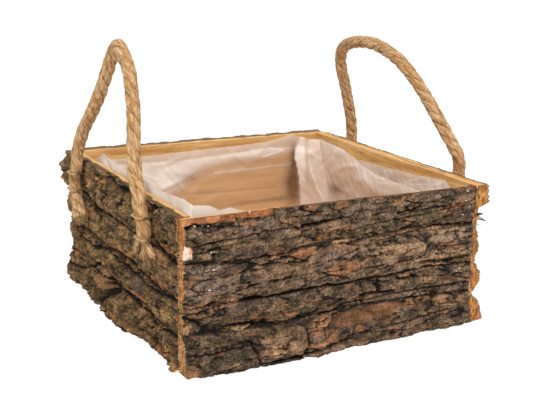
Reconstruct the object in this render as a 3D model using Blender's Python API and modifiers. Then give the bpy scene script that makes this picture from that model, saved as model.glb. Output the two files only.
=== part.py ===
"""Square planter basket of bark slabs, with a film liner and two rope handles.

Metres, +Z up. The origin is the middle of the basket on the surface it stands on.
The front wall faces -Y. Walls are counted round from it: front, right, rear, left.
"""

import math

import bmesh
import bpy
from mathutils import Matrix, Vector, noise

# Basket
SIDE = 0.280                # across the wood of two opposite walls
HEIGHT = 0.125              # from the surface to the rim
WOOD = 0.010                # wood of a slab, without its bark
BARK = 0.004                # bark on the middle of a slab
BARK_SWELL = 0.0013         # how far the bark rises and falls
SWELL_LENGTH = 0.034        # length of one rise of the bark along a slab
SWELL_HEIGHT = 0.016        # and across it
RIM_DROP = 0.0015           # how far the bark curves back at the rim
FOOT_SWELL = 0.0030         # how much thicker it is at the lower edge
PLATE_LENGTH = 0.042        # length of a plate of bark along a slab
PLATE_HEIGHT = 0.0085       # and across it
PLATE_LIFT = 0.0008         # how far a plate lies over or under the mean
PLATE_BEND = 0.0080         # how far the borders of the plates wander along a slab
PLATE_BEND_UP = 0.0026      # and across it
LEAST_WOOD = 0.0040         # the thinnest that a slab gets at a chipped end
WANE = 0.0030               # how far a joint between two slabs wanders
WANE_LENGTH = 0.070         # length of one such bend
RIM_WANE = 0.0010           # how far the rim falls below its full height
RAGGED = 0.0015             # how far the lower edge rises from the surface
RAGGED_LENGTH = 0.045
SLAB_GAP = 0.0008           # gap between a slab and the one below it
TOUCH_GAP = 0.0003          # gap between pieces that touch

# How far each wall's bark curves back at the other long edges of its slabs
EDGE_DROPS = {"front": 0.0045, "right": 0.0080, "rear": 0.0060, "left": 0.0060}

# Base and corner posts
POST_SIDE = 0.015
POST_DROP = 0.016           # from the rim down to a post's top
BATTEN_WIDTH = 0.016
BATTEN_HEIGHT = 0.008
BOARD_THICKNESS = 0.008
BOARD_GAP = 0.002
BOARD_COUNT = 4
EDGE_ROUND = 0.0006         # broken edges of the sawn pieces

# Film liner
FILM = 0.0008               # the film with the air in its wrinkles
FILM_SLACK = 0.002          # room that the film leaves at a corner post
FILM_WRINKLE = 0.0020
WRINKLE_LENGTH = 0.030

# Rope
ROPE_DIAMETER = 0.0105
ARCH_STEP = 0.0085          # distance between the rings of an arch
TAIL_STEP = 0.0025          # and of a fixed tail
HINGE_RISE = 0.005          # from the rim up to the line that a handle swings about
LEFT_CENTRE = 0.0045        # middle of the left handle's foot points, along Y
LEFT_HALF_SPAN = 0.0795     # half the distance between them
LEFT_RISE = 0.1085          # from the foot points to the top of the arch
LEFT_LEAN_DEG = 6.0         # how far the arch leans in over the basket
RIGHT_CENTRE = -0.001
RIGHT_HALF_SPAN = 0.0905
RIGHT_RISE = 0.1085
RIGHT_LEAN_DEG = 20.0
ROPE_TAIL = 0.040           # from the rim down to a rope's cut end

# Rope staples
WIRE = 0.0014
STAPLE_BITE = 0.006         # how deep a leg goes into the wood
STAPLE_BEND = 0.0022
STAPLE_SLACK = 0.0016       # room between a leg and the rope beside it
FIRST_STAPLE = 0.011        # from the rim down to the upper staple
STAPLE_SPACING = 0.016      # from there to the lower one
CUT_OVERRUN = 0.002         # how far a cutter stands out of what it cuts

# Meshing
SLAB_STEPS = 28
SLAB_ROWS = 8
FILM_STEPS = 10
FILM_CORNER_STEPS = 3
FILM_LEVELS = 6

WALLS = ("front", "right", "rear", "left")
SLABS = 4

# Joints of each wall, as shares of the height, from the rim down
JOINT_SHARES = {
    "front": (0.0, 0.280, 0.547, 0.762, 1.0),
    "right": (0.0, 0.290, 0.545, 0.765, 1.0),
    "rear": (0.0, 0.265, 0.520, 0.755, 1.0),
    "left": (0.0, 0.272, 0.535, 0.770, 1.0),
}

# Bends of some joints: shares of half the side along the wall and of the height
JOINT_BEND_SHARES = {
    ("front", 1): (
        (-1.00, 0.735), (-0.86, 0.727), (-0.62, 0.704), (-0.44, 0.710), (-0.28, 0.739),
        (-0.09, 0.752), (0.14, 0.747), (0.52, 0.779), (0.93, 0.739),
    ),
    ("front", 2): (
        (-1.00, 0.472), (-0.83, 0.450), (-0.54, 0.440), (-0.38, 0.439), (-0.10, 0.457),
        (0.05, 0.443), (0.26, 0.450), (0.56, 0.480), (0.93, 0.467),
    ),
    ("front", 3): (
        (-1.00, 0.269), (-0.77, 0.258), (-0.36, 0.262), (-0.21, 0.276), (0.00, 0.281),
        (0.40, 0.287), (0.93, 0.257),
    ),
    ("front", 4): ((-1.00, 0.000), (-0.30, 0.000), (0.40, 0.006), (0.70, 0.012), (0.93, 0.022)),
    ("left", 4): ((-1.00, 0.000), (0.15, 0.000), (0.50, 0.024), (0.70, 0.030), (0.93, 0.012)),
}

# Larger forms of the bark: place along and up a wall and half sizes, as shares of half the side
# and of the height, and lift, as a share of the bark
BARK_FORM_SHARES = {
    "front": (
        (-0.20, 0.53, 0.46, 0.06, 0.35),        # thick plates over the long ledge
        (-0.21, 0.42, 0.46, 0.04, -0.50),       # below the ledge
        (0.18, 0.42, 0.10, 0.05, -0.90),        # cavity right of it
        (-0.40, 0.14, 0.15, 0.10, 0.45),        # raised plate of the lowest slab
        (-0.25, 0.05, 0.04, 0.09, -0.60),       # gap beside that plate
        (0.17, 0.21, 0.25, 0.07, -0.40),        # patch where the outer bark is off
        (-0.84, 0.31, 0.15, 0.06, -1.10),       # hollow at the left end
        (-0.50, 0.69, 0.12, 0.04, -0.45),
        (-0.74, 0.98, 0.28, 0.04, -0.60),       # bark off at the rim
        (0.39, 0.62, 0.19, 0.07, 0.35),
        (-0.98, 0.79, 0.03, 0.05, 0.60),        # knob at the left end
        (-1.01, 0.45, 0.03, 0.26, -0.60),       # thin left end
        (-0.52, 0.03, 0.40, 0.08, 0.90),        # bulging foot
    ),
    "left": (
        (-0.98, 0.83, 0.07, 0.10, 1.70),        # knob at the rear end
        (-0.11, 0.95, 0.17, 0.05, -0.90),       # hollows under the rim
        (0.16, 0.95, 0.12, 0.04, -0.80),
        (0.64, 0.92, 0.05, 0.10, -0.80),
        (-0.16, 0.80, 0.36, 0.08, 0.40),
        (0.06, 0.47, 0.18, 0.04, -0.60),        # ledges along a joint
        (0.69, 0.50, 0.16, 0.04, -0.60),
        (0.73, 0.36, 0.16, 0.09, 0.55),
        (-0.42, 0.25, 0.22, 0.07, 0.60),
        (-0.08, 0.20, 0.09, 0.06, -1.30),       # hole
        (-0.06, 0.05, 0.36, 0.12, 0.85),        # bulging foot
        (0.62, 0.03, 0.24, 0.09, -0.80),        # and where it falls back
        (0.88, 0.11, 0.09, 0.07, -0.80),
    ),
    "right": (
        (-1.01, 0.93, 0.08, 0.07, 0.50),        # chipped front ends
        (-1.01, 0.79, 0.06, 0.06, -2.00),
        (-1.01, 0.60, 0.06, 0.14, -0.90),
        (-1.01, 0.23, 0.06, 0.06, -0.60),
        (-0.35, 0.62, 0.30, 0.08, 0.40),
        (0.35, 0.40, 0.30, 0.07, -0.50),
        (-0.10, 0.14, 0.25, 0.08, 0.45),
    ),
    "rear": (
        (0.45, 0.62, 0.30, 0.07, 0.45),
        (-0.30, 0.40, 0.35, 0.06, -0.50),
        (0.10, 0.85, 0.25, 0.06, -0.40),
        (-0.50, 0.12, 0.30, 0.08, 0.40),
        (0.52, 0.03, 0.40, 0.08, 0.90),
    ),
}

# Outline of an arch, rear foot to front foot: shares of the half span and of the rise
LEFT_ARCH_SHARES = (
    (1.0, 0.0), (0.95, 0.10), (0.81, 0.26), (0.55, 0.45), (0.345, 0.62), (0.195, 0.785),
    (0.045, 0.95), (-0.06, 1.0), (-0.18, 0.97), (-0.445, 0.84), (-0.56, 0.70),
    (-0.675, 0.535), (-0.735, 0.35), (-0.81, 0.175), (-0.91, 0.055), (-1.0, 0.0),
)
RIGHT_ARCH_SHARES = (
    (1.0, 0.0), (0.915, 0.195), (0.85, 0.48), (0.82, 0.69), (0.75, 0.83), (0.585, 0.94),
    (0.265, 1.0), (-0.055, 0.995), (-0.365, 0.905), (-0.565, 0.765), (-0.705, 0.61),
    (-0.82, 0.435), (-0.93, 0.265), (-1.02, 0.11), (-1.0, 0.0),
)

# Fixed tail under each foot: shares of the tail's length, outwards along the wall and down
LEFT_REAR_TAIL_SHARES = (
    (0.0, 0.0), (0.0, 0.08), (0.11, 0.26), (0.22, 0.52), (0.08, 0.95), (-0.16, 1.28),
)
LEFT_FRONT_TAIL_SHARES = ((0.0, 0.0), (0.0, 0.08), (0.12, 0.26), (0.26, 0.56), (0.34, 1.0))
RIGHT_REAR_TAIL_SHARES = ((0.0, 0.0), (0.0, 0.08), (-0.03, 0.5), (0.02, 1.0))
RIGHT_FRONT_TAIL_SHARES = ((0.0, 0.0), (0.0, 0.08), (0.06, 0.5), (0.10, 1.0))

# Upper edge of the film, counted round from the front left corner: share of the way round,
# height above the rim as a share of the basket's height, lean inwards as a share of its side
FILM_EDGE_SHARES = (
    (0.000, 0.020, 0.026), (0.025, 0.040, 0.014), (0.050, 0.010, 0.010),
    (0.085, 0.030, 0.012), (0.120, -0.060, 0.006), (0.220, -0.080, 0.004),
    (0.280, -0.075, 0.006), (0.340, -0.065, 0.012), (0.400, -0.060, 0.020),
    (0.450, -0.030, 0.045), (0.485, -0.010, 0.050), (0.505, -0.005, 0.030),
    (0.540, -0.045, 0.006), (0.620, -0.065, 0.004), (0.710, -0.065, 0.006),
    (0.755, -0.010, 0.012), (0.790, 0.020, 0.014), (0.860, 0.015, 0.020),
    (0.940, 0.025, 0.030), (1.000, 0.020, 0.026),
)

# Colour and roughness of each material
FINISHES = {
    "bark": ((0.115, 0.082, 0.056), 0.95, 0.0),
    "sawn_wood": ((0.600, 0.320, 0.120), 0.75, 0.0),
    "rope": ((0.560, 0.350, 0.150), 0.95, 0.0),
    "film": ((0.750, 0.680, 0.620), 0.35, 0.0),
    "steel": ((0.550, 0.550, 0.570), 0.35, 1.0),
}


# Sizes that follow from the ones above
INNER = SIDE / 2 - WOOD                         # middle to a wall's inner face
ROPE_RADIUS = ROPE_DIAMETER / 2
ROPE_LINE = SIDE / 2 + BARK + TOUCH_GAP + ROPE_RADIUS   # middle to the rope's centre line
HINGE_HEIGHT = HEIGHT + HINGE_RISE
TAIL_TOP = HINGE_HEIGHT - ROPE_RADIUS - TOUCH_GAP
TAIL_LENGTH = TAIL_TOP - (HEIGHT - ROPE_TAIL)
BOARD_BOTTOM = BATTEN_HEIGHT + TOUCH_GAP
BOARD_TOP = BOARD_BOTTOM + BOARD_THICKNESS
FILM_FLOOR = BOARD_TOP + TOUCH_GAP

# Each handle: which way is out of the basket, and its route
HANDLES = {
    "left": dict(
        out=-1, centre=LEFT_CENTRE, half=LEFT_HALF_SPAN, rise=LEFT_RISE, lean=LEFT_LEAN_DEG,
        arch=LEFT_ARCH_SHARES, rear=LEFT_REAR_TAIL_SHARES, front=LEFT_FRONT_TAIL_SHARES,
    ),
    "right": dict(
        out=1, centre=RIGHT_CENTRE, half=RIGHT_HALF_SPAN, rise=RIGHT_RISE, lean=RIGHT_LEAN_DEG,
        arch=RIGHT_ARCH_SHARES, rear=RIGHT_REAR_TAIL_SHARES, front=RIGHT_FRONT_TAIL_SHARES,
    ),
}


def clear_scene():
    """Empties the scene and makes the collections for the parts and the cutters."""
    for thing in list(bpy.data.objects):
        bpy.data.objects.remove(thing, do_unlink=True)
    made = []
    for name in ("bark_basket", "cutters"):
        collection = bpy.data.collections.new(name)
        bpy.context.scene.collection.children.link(collection)
        made.append(collection)
    return made


def make_materials():
    """One material for each finish."""
    made = {}
    for name, (colour, roughness, metallic) in FINISHES.items():
        material = bpy.data.materials.new(name)
        material.use_nodes = True
        shader = material.node_tree.nodes["Principled BSDF"]
        shader.inputs["Base Color"].default_value = (*colour, 1.0)
        shader.inputs["Roughness"].default_value = roughness
        shader.inputs["Metallic"].default_value = metallic
        material.diffuse_color = (*colour, 1.0)
        made[name] = material
    return made


def add_object(name, data, finish):
    """A named object in the parts' collection, with its own copy of a finish."""
    thing = bpy.data.objects.new(name, data)
    PARTS.objects.link(thing)
    own = MATERIALS[finish].copy()
    own.name = name + "_" + finish
    data.materials.append(own)
    return thing


def mesh_from(name, bm):
    """Turns a bmesh into a mesh with smooth faces and sharp corners."""
    bmesh.ops.recalc_face_normals(bm, faces=bm.faces)
    closed = not any(edge.is_boundary for edge in bm.edges)
    if closed and bm.calc_volume(signed=True) < 0:
        bmesh.ops.reverse_faces(bm, faces=bm.faces)
    mesh = bpy.data.meshes.new(name)
    bm.to_mesh(mesh)
    bm.free()
    mesh.shade_smooth()
    mesh.set_sharp_from_angle(angle=math.radians(45))
    return mesh


def mix(a, b, share):
    return a + (b - a) * share


def smooth_step(x):
    x = min(max(x, 0.0), 1.0)
    return x * x * (3 - 2 * x)


def wave(x, length, seed):
    """Smooth noise between -1 and 1 along a line."""
    return noise.noise(Vector((x / length, 0.37 * seed, 1.7 * seed)))


# Slabs

def wall_turn(wall):
    """Turns a wall that was made at the front to its own side."""
    return Matrix.Rotation(math.radians(90) * WALLS.index(wall), 4, "Z")


def bend(shares, share_along):
    """Share of the height at a share along a bent joint."""
    for (a, up_a), (b, up_b) in zip(shares, shares[1:]):
        if a <= share_along <= b:
            return mix(up_a, up_b, smooth_step((share_along - a) / (b - a)))
    return shares[-1][1]


def joint_height(wall, joint, x):
    """Height of a joint between two slabs; joint 0 is the rim and the last is the lower edge."""
    seed = 5 * WALLS.index(wall) + joint + 1
    height = HEIGHT * (1 - JOINT_SHARES[wall][joint])
    if joint == 0:
        return height - RIM_WANE * (0.5 + 0.5 * wave(x, WANE_LENGTH, seed))
    if (wall, joint) in JOINT_BEND_SHARES:
        height = HEIGHT * bend(JOINT_BEND_SHARES[wall, joint], x / (SIDE / 2))
    elif joint < SLABS:
        height += WANE * wave(x, WANE_LENGTH, seed)
    if joint == SLABS:
        height += RAGGED * (0.5 + 0.5 * wave(x, RAGGED_LENGTH, seed))
    return height


def plate_lift(x, height, seed):
    """How far the plate of bark at a place lies over or under the mean."""
    bent = noise.noise(Vector((x / SWELL_LENGTH, height / SWELL_HEIGHT, seed + 0.5)))
    along = (x + PLATE_BEND * bent) / PLATE_LENGTH
    up = (height + PLATE_BEND_UP * bent) / PLATE_HEIGHT
    _, middles = noise.voronoi(Vector((along, up, seed)))
    return PLATE_LIFT * noise.cell(middles[0] * len(WALLS) * SLABS)


def form_lift(wall, x, height):
    """Rise or fall of the bark by the larger forms of a wall."""
    lift = 0.0
    for along, up, half_along, half_up, share in BARK_FORM_SHARES[wall]:
        away = abs(x / (SIDE / 2) - along) / half_along
        off = abs(height / HEIGHT - up) / half_up
        reach = (away ** 3 + off ** 3) ** (1 / 3)
        lift += BARK * share * smooth_step((1.3 - reach) / 0.6)
    return lift


def rope_seat(wall, x, height):
    """Distance along a wall from the nearest rope on it, in rope diameters."""
    if wall not in HANDLES:
        return math.inf
    handle = HANDLES[wall]
    down = (TAIL_TOP - height) / TAIL_LENGTH
    return min(
        abs(x - handle["out"] * tail_place(handle, end, down).y) / ROPE_DIAMETER
        for end in (1, -1)
    )


def slab_depth(wall, number, x, height, share):
    """Thickness of a slab at a place: crowned, with the bark's forms, level under a rope."""
    drop = EDGE_DROPS[wall]
    lower = (-FOOT_SWELL if number == SLABS - 1 else drop) * (1 - share) ** 3
    upper = (RIM_DROP if number == 0 else drop) * share ** 3
    seed = 3.1 * WALLS.index(wall) + 7.3 * number
    swell = noise.noise(Vector((x / SWELL_LENGTH, height / SWELL_HEIGHT, seed)))
    crowned = WOOD + BARK + BARK_SWELL * swell - lower - upper
    crowned += plate_lift(x, height, seed) + form_lift(wall, x, height)
    if number < 2:
        level = WOOD + BARK - lower - (upper if number else 0.0)
        crowned = mix(level, crowned, smooth_step(rope_seat(wall, x, height) - 1.1))
    return max(crowned, LEAST_WOOD)


def slab(wall, number):
    """One slab with its bark: a gridded outer face, square ends and a flat sawn back."""
    left = -SIDE / 2
    right = INNER - TOUCH_GAP
    bm = bmesh.new()
    bmesh.ops.create_grid(bm, x_segments=SLAB_STEPS, y_segments=SLAB_ROWS, size=0.5)
    for vert in bm.verts:
        x = mix(left, right, vert.co.x + 0.5)
        share = 0.5 - 0.5 * math.cos(math.pi * (vert.co.y + 0.5))
        low = joint_height(wall, number + 1, x)
        high = joint_height(wall, number, x)
        if number < SLABS - 1:
            low += SLAB_GAP / 2
        if number > 0:
            high -= SLAB_GAP / 2
        height = mix(low, high, share)
        vert.co = (x, -INNER - slab_depth(wall, number, x, height, share), height)
    rim = [edge for edge in bm.edges if edge.is_boundary]
    sides = bmesh.ops.extrude_edge_only(bm, edges=rim)["geom"]
    for vert in sides:
        if isinstance(vert, bmesh.types.BMVert):
            vert.co.y = -INNER
    back = [edge for edge in bm.edges if edge.is_boundary]
    bmesh.ops.contextual_create(bm, geom=back)
    bm.transform(wall_turn(wall))
    return add_object(f"{wall}_slab_{number + 1}", mesh_from("slab", bm), "bark")


# Base and posts

def block(name, low, high, finish):
    """A sawn piece between two corners, with broken edges."""
    bm = bmesh.new()
    bmesh.ops.create_cube(bm, size=1.0)
    size = Vector(high) - Vector(low)
    bmesh.ops.scale(bm, vec=size, verts=bm.verts)
    thing = add_object(name, mesh_from(name, bm), finish)
    thing.location = (Vector(low) + Vector(high)) / 2
    bevel = thing.modifiers.new("broken_edges", "BEVEL")
    bevel.width = EDGE_ROUND
    bevel.segments = 1
    return thing


def base():
    """Two battens on the surface and the boards that lie across them."""
    reach = INNER - TOUCH_GAP
    for name, side in (("left_batten", -1), ("right_batten", 1)):
        edges = sorted((side * (reach - BATTEN_WIDTH), side * reach))
        block(name, (edges[0], -reach, 0), (edges[1], reach, BATTEN_HEIGHT), "sawn_wood")
    width = (2 * reach - (BOARD_COUNT - 1) * BOARD_GAP) / BOARD_COUNT
    for number in range(BOARD_COUNT):
        front = -reach + number * (width + BOARD_GAP)
        block(
            f"bottom_board_{number + 1}",
            (-reach, front, BOARD_BOTTOM), (reach, front + width, BOARD_TOP), "sawn_wood",
        )


def posts():
    """A square post in each inner corner, which the slabs are fastened to."""
    outer = INNER - TOUCH_GAP
    inner = outer - POST_SIDE
    corners = {
        "front_left": (-1, -1), "front_right": (1, -1), "rear_right": (1, 1), "rear_left": (-1, 1),
    }
    for name, (x, y) in corners.items():
        xs = sorted((x * inner, x * outer))
        ys = sorted((y * inner, y * outer))
        block(
            f"{name}_post",
            (xs[0], ys[0], BOARD_TOP + TOUCH_GAP), (xs[1], ys[1], HEIGHT - POST_DROP),
            "sawn_wood",
        )


# Film

def film_edge(share):
    """Rise above the rim and lean inwards of the film's upper edge, at a share of the way round."""
    for (a, rise_a, lean_a), (b, rise_b, lean_b) in zip(FILM_EDGE_SHARES, FILM_EDGE_SHARES[1:]):
        if a <= share <= b:
            part = smooth_step((share - a) / (b - a))
            return HEIGHT * mix(rise_a, rise_b, part), SIDE * mix(lean_a, lean_b, part)
    return 0.0, 0.0


def film_outline():
    """Places round the liner with their inward directions: four walls with cut corners."""
    wall = INNER - TOUCH_GAP
    corner = 2 * (POST_SIDE + TOUCH_GAP) + FILM_SLACK
    for number in range(len(WALLS)):
        turn = Matrix.Rotation(math.radians(90) * number, 3, "Z")
        for step in range(FILM_STEPS):
            x = mix(-wall + corner, wall - corner, step / FILM_STEPS)
            yield turn @ Vector((x, -wall, 0)), turn @ Vector((0, 1, 0))
        for step in range(FILM_CORNER_STEPS):
            share = step / FILM_CORNER_STEPS
            place = Vector((wall - corner + corner * share, -wall + corner * share, 0))
            inwards = Vector((-1, 1, 0)) if step else Vector((-0.4, 1, 0))
            yield turn @ place, turn @ inwards.normalized()


def liner():
    """The film: a thin open box inside the walls, with a wavy upper edge."""
    outline = list(film_outline())
    count = len(outline)
    start = FILM_CORNER_STEPS / 2
    bm = bmesh.new()
    rings = []
    for level in range(FILM_LEVELS + 1):
        share_up = level / FILM_LEVELS
        ring = []
        for number, (place, inwards) in enumerate(outline):
            rise, lean = film_edge((number + start) / count % 1.0)
            height = mix(FILM_FLOOR, HEIGHT + rise, share_up)
            length = Vector((place.x, place.y, height)) / WRINKLE_LENGTH
            wrinkle = FILM_WRINKLE * (0.5 + 0.5 * noise.noise(length)) * share_up
            inset = wrinkle + lean * share_up ** 3
            ring.append(bm.verts.new(place + inwards * inset + Vector((0, 0, height))))
        rings.append(ring)
    bm.faces.new(rings[0])
    for lower, upper in zip(rings, rings[1:]):
        for a, b in zip(range(count), [*range(1, count), 0]):
            bm.faces.new((lower[a], lower[b], upper[b], upper[a]))
    film = add_object("film_liner", mesh_from("film", bm), "film")
    shell = film.modifiers.new("thickness", "SOLIDIFY")
    shell.thickness = FILM
    shell.offset = -1.0
    return film


# Rope

def curve_through(route, step):
    """Points at an even step along a smooth curve through the points of a route."""
    ends = [2 * route[0] - route[1], *route, 2 * route[-1] - route[-2]]
    fine = []
    for a, b, c, d in zip(ends, ends[1:], ends[2:], ends[3:]):
        for part in range(16):
            t = part / 16
            fine.append(
                0.5 * (2 * b + (c - a) * t + (2 * a - 5 * b + 4 * c - d) * t * t
                       + (3 * b - a - 3 * c + d) * t * t * t)
            )
    fine.append(route[-1])
    length = sum((b - a).length for a, b in zip(fine, fine[1:]))
    count = max(2, round(length / step))
    points, gone, target = [fine[0]], 0.0, length / count
    for a, b in zip(fine, fine[1:]):
        piece = (b - a).length
        while piece > 0 and gone + piece >= target and len(points) < count:
            points.append(a.lerp(b, (target - gone) / piece))
            target += length / count
        gone += piece
    points.append(fine[-1])
    return points, length


def tube(name, points, radius, finish, sides_step, shares=None):
    """A round tube along points, with a share of its radius at each of them."""
    curve = bpy.data.curves.new(name, "CURVE")
    curve.dimensions = "3D"
    curve.bevel_depth = radius
    curve.bevel_resolution = sides_step
    curve.use_fill_caps = True
    spline = curve.splines.new("POLY")
    spline.points.add(len(points) - 1)
    for target, place, share in zip(spline.points, points, shares or [1.0] * len(points)):
        target.co = (*place, 1.0)
        target.radius = share
    return add_object(name, curve, finish)


def rope_place(handle, share_along, share_up):
    """A place on an arch, in the plane that leans in over the basket."""
    lean = math.radians(handle["lean"])
    up = handle["rise"] * share_up
    return Vector((
        handle["out"] * (ROPE_LINE - up * math.sin(lean)),
        handle["centre"] + handle["half"] * share_along,
        HINGE_HEIGHT + up * math.cos(lean),
    ))


def rope_arch(side):
    """The part of a rope that swings: an arch with a rounded foot on the hinge line at each end."""
    handle = HANDLES[side]
    route = [rope_place(handle, *shares) for shares in handle["arch"]]
    points, length = curve_through(route, ARCH_STEP)
    ball = [(math.sin(turn), math.cos(turn)) for turn in map(math.radians, (78, 55, 28))]
    rear = (points[0] - points[1]).normalized() * ROPE_RADIUS
    front = (points[-1] - points[-2]).normalized() * ROPE_RADIUS
    places = [points[0] + rear * away for away, _ in ball] + points
    places += [points[-1] + front * away for away, _ in reversed(ball)]
    sizes = [size for _, size in ball]
    print(f"{side} arch is {length:.4f} m long")
    return tube(
        f"{side}_rope_arch", places, ROPE_RADIUS, "rope", 3,
        sizes + [1.0] * len(points) + sizes[::-1],
    )


def tail_place(handle, end, down):
    """A place on the fixed tail of a rope, at a share of the way down it."""
    shares = handle["rear"] if end > 0 else handle["front"]
    down = min(max(down, 0.0), shares[-1][1])
    out = 0.0
    for (out_a, down_a), (out_b, down_b) in zip(shares, shares[1:]):
        if down_a <= down <= down_b:
            out = mix(out_a, out_b, (down - down_a) / (down_b - down_a))
    along = handle["centre"] + end * (handle["half"] + TAIL_LENGTH * out)
    return Vector((handle["out"] * ROPE_LINE, along, TAIL_TOP - TAIL_LENGTH * down))


def rope_tail(side, end_name, end):
    """The end of a rope that is stapled to the wall, from under its foot to the cut."""
    handle = HANDLES[side]
    shares = handle["rear"] if end > 0 else handle["front"]
    route = [tail_place(handle, end, down) for _, down in shares]
    points, _ = curve_through(route, TAIL_STEP)
    return tube(f"{side}_rope_tail_{end_name}", points, ROPE_RADIUS, "rope", 3)


def staple_heights():
    return [HEIGHT - FIRST_STAPLE - number * STAPLE_SPACING for number in range(2)]


def staple_legs(side, end, height):
    """The two lines along Y on which a staple's legs go in, beside the rope."""
    handle = HANDLES[side]
    middle = tail_place(handle, end, (TAIL_TOP - height) / TAIL_LENGTH).y
    away = ROPE_RADIUS + WIRE / 2 + STAPLE_SLACK
    return middle - away, middle + away


def rope_staple(side, end_name, end, number):
    """A wire staple across a rope's tail, with its legs in the slab."""
    out = HANDLES[side]["out"]
    height = staple_heights()[number]
    low, high = staple_legs(side, end, height)
    crown = ROPE_LINE + ROPE_RADIUS + TOUCH_GAP + WIRE / 2
    deep = SIDE / 2 - STAPLE_BITE
    points = [Vector((out * deep, low, height))]
    points.append(Vector((out * (crown - STAPLE_BEND), low, height)))
    bends = ((low + STAPLE_BEND, (150, 120, 90)), (high - STAPLE_BEND, (90, 60, 30)))
    for centre, turns in bends:
        for turn in map(math.radians, turns):
            points.append(Vector((
                out * (crown - STAPLE_BEND + STAPLE_BEND * math.sin(turn)),
                centre + STAPLE_BEND * math.cos(turn), height,
            )))
    points.append(Vector((out * (crown - STAPLE_BEND), high, height)))
    points.append(Vector((out * deep, high, height)))
    name = f"{side}_rope_staple_{end_name}_{number + 1}"
    return tube(name, points, WIRE / 2, "steel", 2)


def cut_staple_holes(side, top_slab):
    """Cuts the holes that the staples' legs sit in."""
    out = HANDLES[side]["out"]
    deep = SIDE / 2 - STAPLE_BITE - TOUCH_GAP
    far = SIDE / 2 + BARK + BARK_SWELL + CUT_OVERRUN
    bm = bmesh.new()
    for end in (1, -1):
        for height in staple_heights():
            for along in staple_legs(side, end, height):
                place = Matrix.Translation((out * (deep + far) / 2, along, height))
                bmesh.ops.create_cone(
                    bm, cap_ends=True, segments=8, radius1=WIRE / 2 + TOUCH_GAP,
                    radius2=WIRE / 2 + TOUCH_GAP, depth=far - deep,
                    matrix=place @ Matrix.Rotation(math.radians(90), 4, "Y"),
                )
    mesh = bpy.data.meshes.new(f"{side}_staple_holes")
    bm.to_mesh(mesh)
    bm.free()
    cutter = bpy.data.objects.new(f"{side}_staple_holes", mesh)
    CUTTERS.objects.link(cutter)
    cutter.hide_render = True
    cutter.display_type = "WIRE"
    cut = top_slab.modifiers.new("staple_holes", "BOOLEAN")
    cut.operation = "DIFFERENCE"
    cut.object = cutter


def main():
    for wall in WALLS:
        slabs = [slab(wall, number) for number in range(SLABS)]
        if wall in HANDLES:
            cut_staple_holes(wall, slabs[0])
    base()
    posts()
    liner()
    for side in HANDLES:
        rope_arch(side)
        for end_name, end in (("rear", 1), ("front", -1)):
            rope_tail(side, end_name, end)
            for number in range(len(staple_heights())):
                rope_staple(side, end_name, end, number)


PARTS, CUTTERS = clear_scene()
MATERIALS = make_materials()
main()
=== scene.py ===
"""Looks of the square bark planter basket: bark, sawn wood, film liner, rope handles, light."""

import math

import bpy
import numpy as np
from mathutils import Matrix, Vector, noise


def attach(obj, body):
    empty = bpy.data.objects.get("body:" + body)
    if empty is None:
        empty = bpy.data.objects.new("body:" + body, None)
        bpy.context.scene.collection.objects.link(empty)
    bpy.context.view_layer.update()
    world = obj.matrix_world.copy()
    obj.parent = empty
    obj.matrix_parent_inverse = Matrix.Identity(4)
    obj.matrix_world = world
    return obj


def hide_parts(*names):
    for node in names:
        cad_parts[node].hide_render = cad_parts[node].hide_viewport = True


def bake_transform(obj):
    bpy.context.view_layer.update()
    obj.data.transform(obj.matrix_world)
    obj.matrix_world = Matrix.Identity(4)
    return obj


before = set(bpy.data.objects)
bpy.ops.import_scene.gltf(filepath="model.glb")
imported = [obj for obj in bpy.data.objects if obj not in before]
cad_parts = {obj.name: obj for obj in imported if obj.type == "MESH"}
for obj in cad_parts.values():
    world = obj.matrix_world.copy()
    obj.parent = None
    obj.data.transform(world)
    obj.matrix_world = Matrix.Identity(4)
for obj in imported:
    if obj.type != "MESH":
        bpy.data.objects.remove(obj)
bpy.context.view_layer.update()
MM = 0.001

# Sizes of the solids, in metres
SIDE = 0.280
HEIGHT = 0.125
WOOD = 0.010
BARK = 0.004
BARK_SWELL = 0.0013
SWELL_LENGTH = 0.034
SWELL_HEIGHT = 0.016
EDGE_DROPS = {"front": 0.0045, "right": 0.0080, "rear": 0.0060, "left": 0.0060}
RIM_DROP = 0.0015
FOOT_SWELL = 0.0030
PLATE_LENGTH = 0.042
PLATE_HEIGHT = 0.0085
PLATE_LIFT = 0.0008
PLATE_BEND = 0.0080
PLATE_BEND_UP = 0.0026
LEAST_WOOD = 0.0040
WANE = 0.0030
WANE_LENGTH = 0.070
RIM_WANE = 0.0010
RAGGED = 0.0015
RAGGED_LENGTH = 0.045
SLAB_GAP = 0.0008
TOUCH_GAP = 0.0003
POST = 0.015
POST_TOP = 0.109
FILM_FLOOR = 0.0166
ROPE_DIAMETER = 0.0105
ROPE_TAIL = 0.040
ROPE_LIFT = 0.005
INNER = SIDE / 2 - WOOD
ROPE_RADIUS = ROPE_DIAMETER / 2
ROPE_LINE = SIDE / 2 + BARK + TOUCH_GAP + ROPE_RADIUS
HINGE_HEIGHT = HEIGHT + ROPE_LIFT
TAIL_TOP = HINGE_HEIGHT - ROPE_RADIUS - TOUCH_GAP
TAIL_LENGTH = TAIL_TOP - (HEIGHT - ROPE_TAIL)
WALLS = ("front", "right", "rear", "left")
SLABS = 4
# Heights of the joints between slabs, from the rim down, as shares of the height
JOINT_SHARES = {
    "front": (0.0, 0.280, 0.547, 0.762, 1.0),
    "right": (0.0, 0.290, 0.545, 0.765, 1.0),
    "rear": (0.0, 0.265, 0.520, 0.755, 1.0),
    "left": (0.0, 0.272, 0.535, 0.770, 1.0),
}
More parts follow.
